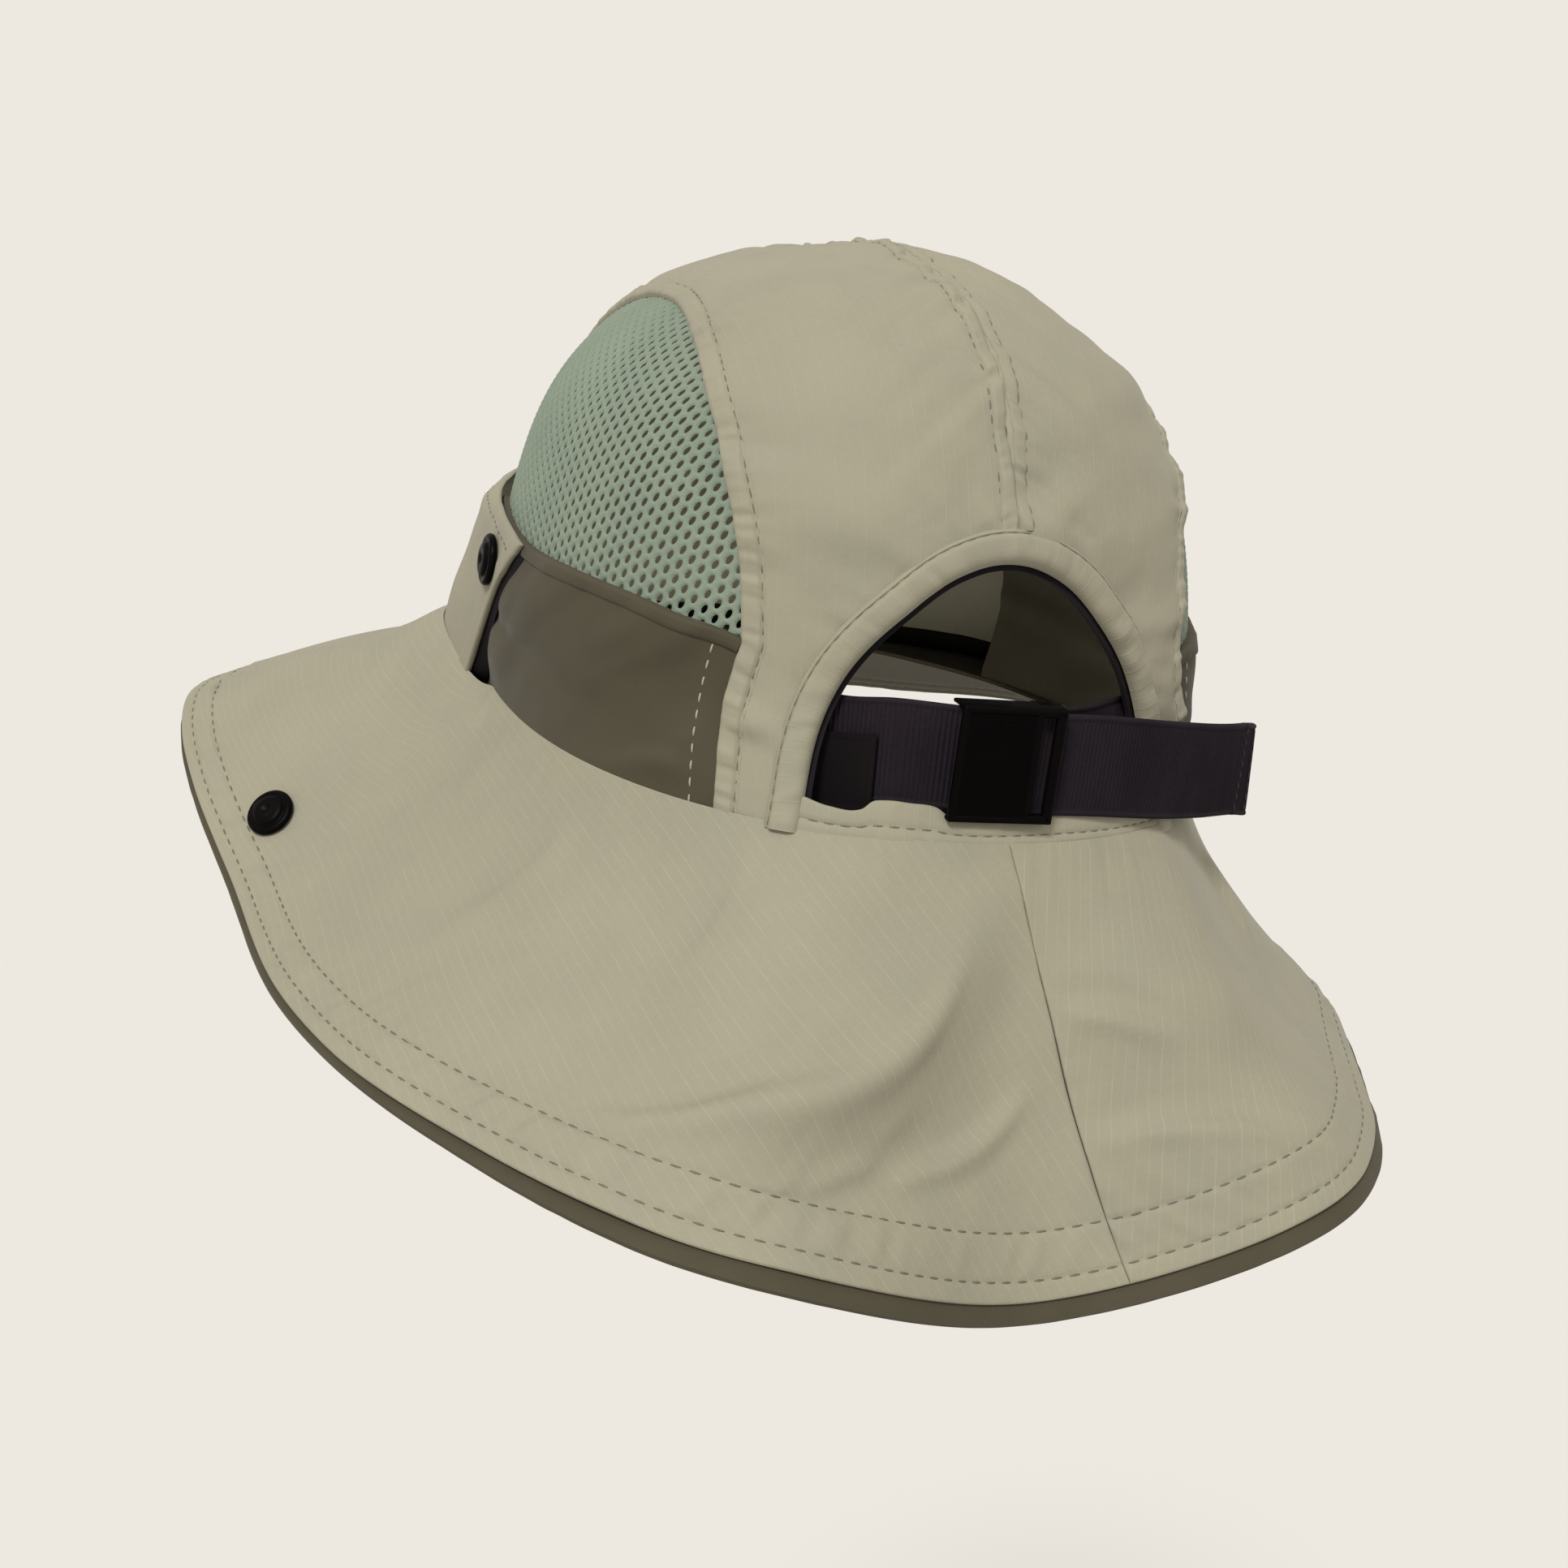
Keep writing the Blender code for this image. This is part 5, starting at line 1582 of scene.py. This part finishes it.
def strapEdges(way, count):
    rows = np.array(way, float)
    low = onCrown(place(rows[:, 0], strap["foot"] / hat["height"]), rows[:, 1])
    head = onCrown(place(rows[:, 0], (strap["foot"] + strap["width"]) / hat["height"]), rows[:, 1])
    lean = (head - low) * np.column_stack([rows[:, 3], rows[:, 3], np.ones(len(rows))])
    lean /= np.linalg.norm(lean, axis=1)[:, None]
    low[:, :2] += ((head - low) / 2)[:, :2] * (1 - rows[:, 3:4])
    low = low - rows[:, 2:3] * strap["tipDrop"] * np.array([0, 0, 1])
    both = along(np.column_stack([low, low + lean * strap["width"]]), count)
    return both[:, :3], both[:, 3:]


def addWebbing(piece, low, high, endFold, thickness):
    # ribbed webbing between its lower and upper edge
    grid = between(low, high, strap["across"])
    normal = gridNormals(grid)
    shares = np.array(strap["across"])[:, None]
    run = np.broadcast_to(runOf((low + high) / 2), grid.shape[:2])
    across = np.broadcast_to(shares * strap["width"], grid.shape[:2])
    fromEdge = np.minimum(across, strap["width"] - across)
    rib = np.sin(run / strap["ribPitch"] * 2 * math.pi) * strap["ribHeight"] * ease(fromEdge, 0.0009, 0.0018)
    cord = 0.00016 * hump(fromEdge, 0.0007, 0.0005) - 0.00012 * hump(fromEdge, 0.0015, 0.0003)
    soft = 0.0002 * waves(run, across, 0.02, 0.2, 97)
    end = run[0, -1] - run
    body = thickness / 2 - 0.0001 + cord + (0.00045 * ease(end, endFold, endFold - 0.0006) if endFold else 0)
    shape = rounded(fromEdge, 0.0006) / 0.0006 * (0.4 + 0.6 * rounded(end, 0.0006) / 0.0006)
    face = raised(grid, normal, (body + rib) * shape + soft)
    back = raised(grid, normal, soft - (body + rib * 0.8) * shape)
    addShell(piece, face, back, np.stack([run, across], axis=-1))
    return face, normal


def makeStrap():
    piece = startPiece()
    low, high = strapEdges(strapWay, strap["steps"])
    face, normal = addWebbing(piece, low, high, strap["endFold"], strap["thickness"])
    for column in strap["stitchColumns"]:
        up = normal[3:-3, column]
        addThread(piece, face[3:-3, column] + up * 0.0001, up, strap["thread"])
    makePiece(piece, "strapMain", "strap_main", "grey_webbing", "webbing", "darkThread")


def makeStub():
    # the stub's webbing, hooked round the buckle's rear bar
    piece = startPiece()
    centre, left, out, up = buckleAxes()
    low, high = strapEdges(stubWay, 60)
    bar = centre + left * stubShift() - out * stubDepth()
    turn = buckle["stubBar"] / 2 + buckle["fit"] + buckle["stubThickness"] / 2
    hook = [bar - left * buckle["stubTail"] - out * turn]
    hook += [bar + turn * (math.sin(t) * left - math.cos(t) * out) for t in np.linspace(0, math.pi, 7)]
    hook = np.array(hook + [bar - left * buckle["stubTail"] / 2 + out * turn])
    low, high = (along(np.vstack([line[::6], hook + up * reach]), 240)
                 for line, reach in ((low, -strap["width"] / 2), (high, strap["width"] / 2)))
    addWebbing(piece, low, high, 0, buckle["stubThickness"])
    makePiece(piece, "strapStub", "strap_stub", "grey_webbing", "webbing")


def buckleAxes():
    low, high = strapEdges(strapWay, 400)
    middle = (low + high) / 2
    angles = np.degrees(np.arctan2(middle[:, 0], middle[:, 1]))
    spot = int(np.argmin(np.abs(angles - buckle["angle"])))
    up = high[spot] - low[spot]
    up /= np.linalg.norm(up)
    left = middle[spot - 3] - middle[spot + 3]
    left -= up * (left @ up)
    left /= np.linalg.norm(left)
    return middle[spot], left, np.cross(up, left), up


def stubShift():
    return -(buckle["width"] / 2 - buckle["stubBar"] / 2 - buckle["stubThickness"] - 2 * buckle["fit"])


def stubDepth():
    return (strap["thickness"] / 2 + buckle["stubClearance"] + buckle["stubThickness"] + buckle["stubBar"] / 2
            + buckle["fit"])


def roundedBox(low, high, radius, segments=3):
    # a box with soft edges, as corner points and faces
    made = bmesh.new()
    bmesh.ops.create_cube(made, size=1.0)
    size = np.array(high) - np.array(low)
    for vert in made.verts:
        vert.co = (np.array(low) + np.array(high)) / 2 + np.array(vert.co) * size
    bmesh.ops.bevel(made, geom=made.edges[:], offset=min(radius, size.min() * 0.45), segments=segments,
                    profile=0.5, affect="EDGES")
    verts = np.array([v.co[:] for v in made.verts])
    faces = [[[v.index for v in f.verts]] for f in made.faces]
    made.free()
    return verts, faces


def buckleBoxes():
    # the buckle's boxes in its own axes, left, out and up; the paired ones have a twin at the foot
    half = buckle["width"] / 2
    tall = buckle["height"] / 2
    frame = buckle["frame"]
    inside = strap["thickness"] / 2 + buckle["fit"]
    front = inside + buckle["plate"]
    back = -stubDepth() - buckle["stubBar"] / 2
    channel = strap["width"] / 2 + buckle["fit"]
    barLeft, barRight = (stubShift() + sign * buckle["stubBar"] / 2 for sign in (1, -1))
    slotEdge = -half + buckle["bar"] + buckle["slot"]
    slotTall = buckle["slotHeight"] / 2
    soft = buckle["corner"]
    low, high = -tall + 0.0004, tall - 0.0004
    single, paired = (1,), (1, -1)
    boxes = [
        ((slotEdge, inside, -tall), (half, front - 0.0004, tall), soft, single),
        ((slotEdge, inside + 0.0003, tall - frame), (half, front, tall), soft * 0.7, paired),
        ((slotEdge, inside + 0.0003, low), (slotEdge + frame, front, high), soft * 0.7, single),
        ((half - frame, inside + 0.0003, low), (half, front, high), soft * 0.7, single),
        ((-half, inside, -tall), (-half + buckle["bar"], front, tall), soft, single),
        ((-half, inside, slotTall), (slotEdge + 0.001, front, tall), soft * 0.8, paired),
        ((-half, back + 0.0012, channel), (half, front - 0.0002, tall), soft * 0.7, paired),
        ((barRight - 0.0008, back, channel - 0.0006), (barLeft + 0.0022, 0.0, tall), soft * 0.7, paired),
        ((barRight, back, -channel - 0.0004), (barLeft, back + buckle["stubBar"], channel + 0.0004), 0.0005,
         single),
    ]
    # the face that carries the small raised squares: its edges and how far out it lies
    field = (slotEdge + frame, half - frame, -tall + frame, tall - frame, front - 0.0004)
    return boxes, field


def raisedSquares(left, right, foot, top, level):
    # rows of small blunt pyramids, as corner points and faces
    pitch = buckle["dimple"]
    x, z = np.meshgrid(np.arange(left + pitch * 0.7, right - pitch * 0.3, pitch),
                       np.arange(foot + pitch * 0.7, top - pitch * 0.3, pitch))
    corners = np.array([(-1, -1), (1, -1), (1, 1), (-1, 1)]) * pitch * 0.40
    square = [(p[0], level - 0.0001, p[1]) for p in corners]
    square += [(p[0], level + buckle["dimpleHeight"], p[1]) for p in corners * 0.45]
    centres = np.column_stack([x.ravel(), np.zeros(x.size), z.ravel()])
    verts = (centres[:, None] + np.array(square)[None]).reshape(-1, 3)
    sides = np.array([(0, 1, 5, 4), (1, 2, 6, 5), (2, 3, 7, 6), (3, 0, 4, 7), (4, 5, 6, 7), (3, 2, 1, 0)])
    return verts, (sides[None, :, ::-1] + (np.arange(len(centres)) * 8)[:, None, None]).reshape(-1, 4)


def makeBuckle():
    piece = startPiece()
    centre, left, out, up = buckleAxes()
    axes = np.array([left, out, up])
    boxes, field = buckleBoxes()
    for low, high, radius, signs in boxes:
        for sign in signs:
            ends = sorted((low[2] * sign, high[2] * sign))
            verts, faces = roundedBox((*low[:2], ends[0]), (*high[:2], ends[1]), radius)
            addPart(piece, centre + verts @ axes, faces, verts[:, [0, 2]])
    verts, faces = raisedSquares(*field)
    addPart(piece, centre + verts @ axes, [faces], verts[:, [0, 2]])
    makePiece(piece, "buckle", "buckle", "black_plastic", "plastic", sharp=35)


def makeLabel():
    piece = startPiece()
    low, high = strapEdges(strapWay, 1200)
    angles = np.degrees(np.arctan2(low[:, 0], low[:, 1]))
    kept = (angles <= label["angles"][0]) & (angles >= label["angles"][1])
    low = low[kept]
    lean = (high[kept] - low) / strap["width"]
    out = np.cross(np.gradient(low, axis=0), lean)
    out /= np.linalg.norm(out, axis=1)[:, None]
    out *= np.sign(out[:, 1])[:, None]
    low = low + out * (strap["thickness"] / 2 + 0.0003) - lean * label["hangs"]
    both = along(np.column_stack([low, low + lean * label["height"]]), 70)
    shares = np.r_[0, 0.01, 0.03, np.linspace(0.06, 0.94, 60), 0.97, 0.99, 1.0]
    grid = between(both[:, :3], both[:, 3:], shares)
    normal = gridNormals(grid)
    run, up = runAcross(grid, shares * label["height"], 0)
    fromEdge = np.minimum(np.minimum(run, run[0, -1] - run), np.minimum(up, label["height"] - up))
    frame = 0.00012 * ease(fromEdge, label["frame"] + 0.0002, label["frame"] - 0.0002)
    frame -= 0.00010 * hump(fromEdge, label["frame"], 0.00018)
    weave = np.sin(up / label["weavePitch"] * 2 * math.pi) * label["weaveHeight"]
    half = rounded(fromEdge, label["thickness"] / 2)
    lift = 0.0004 + 0.0002 * waves(run, up, 0.012, 0.3, 99)
    face = raised(grid, normal, lift + half + frame + weave)
    back = raised(grid, normal, 0.0003 - half * 0.7)
    addShell(piece, face, back, np.stack([run, up], axis=-1), skip=5)
    makePiece(piece, "strapLabel", "strap_label", "woven_label", "label")


# The snaps

snapLook = {
    "radius": 0.0063,
    "height": 0.0022,
    "seat": 0.0008,
    "steps": 56,
    # a spot inside the hat below its base, which every snap faces away from
    "inside": (0, 0, -0.08),
    # share of the radius, share of the height: dimple, domed cap, groove, rim
    "profile": [(0.0, 0.72), (0.10, 0.74), (0.17, 0.82), (0.24, 0.93), (0.34, 0.99), (0.44, 0.985),
                (0.56, 0.93), (0.64, 0.82), (0.67, 0.64), (0.70, 0.52), (0.74, 0.50), (0.78, 0.56),
                (0.85, 0.60), (0.93, 0.52), (0.985, 0.34), (1.0, 0.14), (0.99, 0.0), (0.97, -0.14),
                (0.0, -0.14)],
}
# angle and share of the way up the cloth of each kind of snap
snapSpots = {"brim": (105.0, 0.76), "crown": (109.0, 0.74)}


def surfaceSpot(cloth, angle, share):
    # a spot on a cloth's face and the way it faces
    middle = cloth(angle, share)[0]
    across = cloth(angle + 0.8, share)[0] - cloth(angle - 0.8, share)[0]
    up = cloth(angle, share + 0.02)[0] - cloth(angle, share - 0.02)[0]
    normal = np.cross(across, up)
    normal /= np.linalg.norm(normal)
    normal *= np.sign(normal @ (middle - np.array(snapLook["inside"])))
    return middle + normal * brim["cloth"], normal


def makeSnap(name, node, spot, normal):
    piece = startPiece()
    steps = snapLook["steps"]
    side = np.cross(normal, [0.3, 0.2, 0.9])
    side /= np.linalg.norm(side)
    other = np.cross(normal, side)
    turns = np.linspace(0, 2 * math.pi, steps, endpoint=False)[:, None]
    circle = (side * np.cos(turns) + other * np.sin(turns)) * snapLook["radius"]
    rings = [spot + normal * (snapLook["seat"] + tall * snapLook["height"]) + circle * share
             for share, tall in snapLook["profile"]]
    verts = np.vstack([rings[0][:1], *rings[1:-1], rings[-1][:1]])
    ring = 1 + np.arange(len(verts) - 2).reshape(-1, steps)
    ring = np.column_stack([ring, ring[:, 0]])
    tops = np.array([(0, ring[0, k], ring[0, k + 1]) for k in range(steps)])
    feet = np.array([(len(verts) - 1, ring[-1, k + 1], ring[-1, k]) for k in range(steps)])
    addPart(piece, verts, [quads(ring, True), tops, feet])
    makePiece(piece, name, node, "black_snap", "snap", sharp=60)


def makeSnaps():
    for hand, side in (("Left", 1), ("Right", -1)):
        for kind, cloth in (("brim", topCloth), ("crown", bandCloth)):
            angle, share = snapSpots[kind]
            spot, normal = surfaceSpot(cloth, np.array([angle * side]), np.array([share]))
            makeSnap(kind + "Snap" + hand, kind + "_snap_" + hand.lower(), spot, normal)


makeBinding()
makeFacing()
makeRearBand()
for wearersSide, sign in (("Left", 1), ("Right", -1)):
    makeCrownHalf(wearersSide, sign)
    makeMesh(wearersSide, sign)
    makeSidePanel(wearersSide, sign)
    makeBrimTop(wearersSide, sign)
makeBrimUnder()
makeStrap()
makeStub()
makeBuckle()
makeLabel()
makeSnaps()
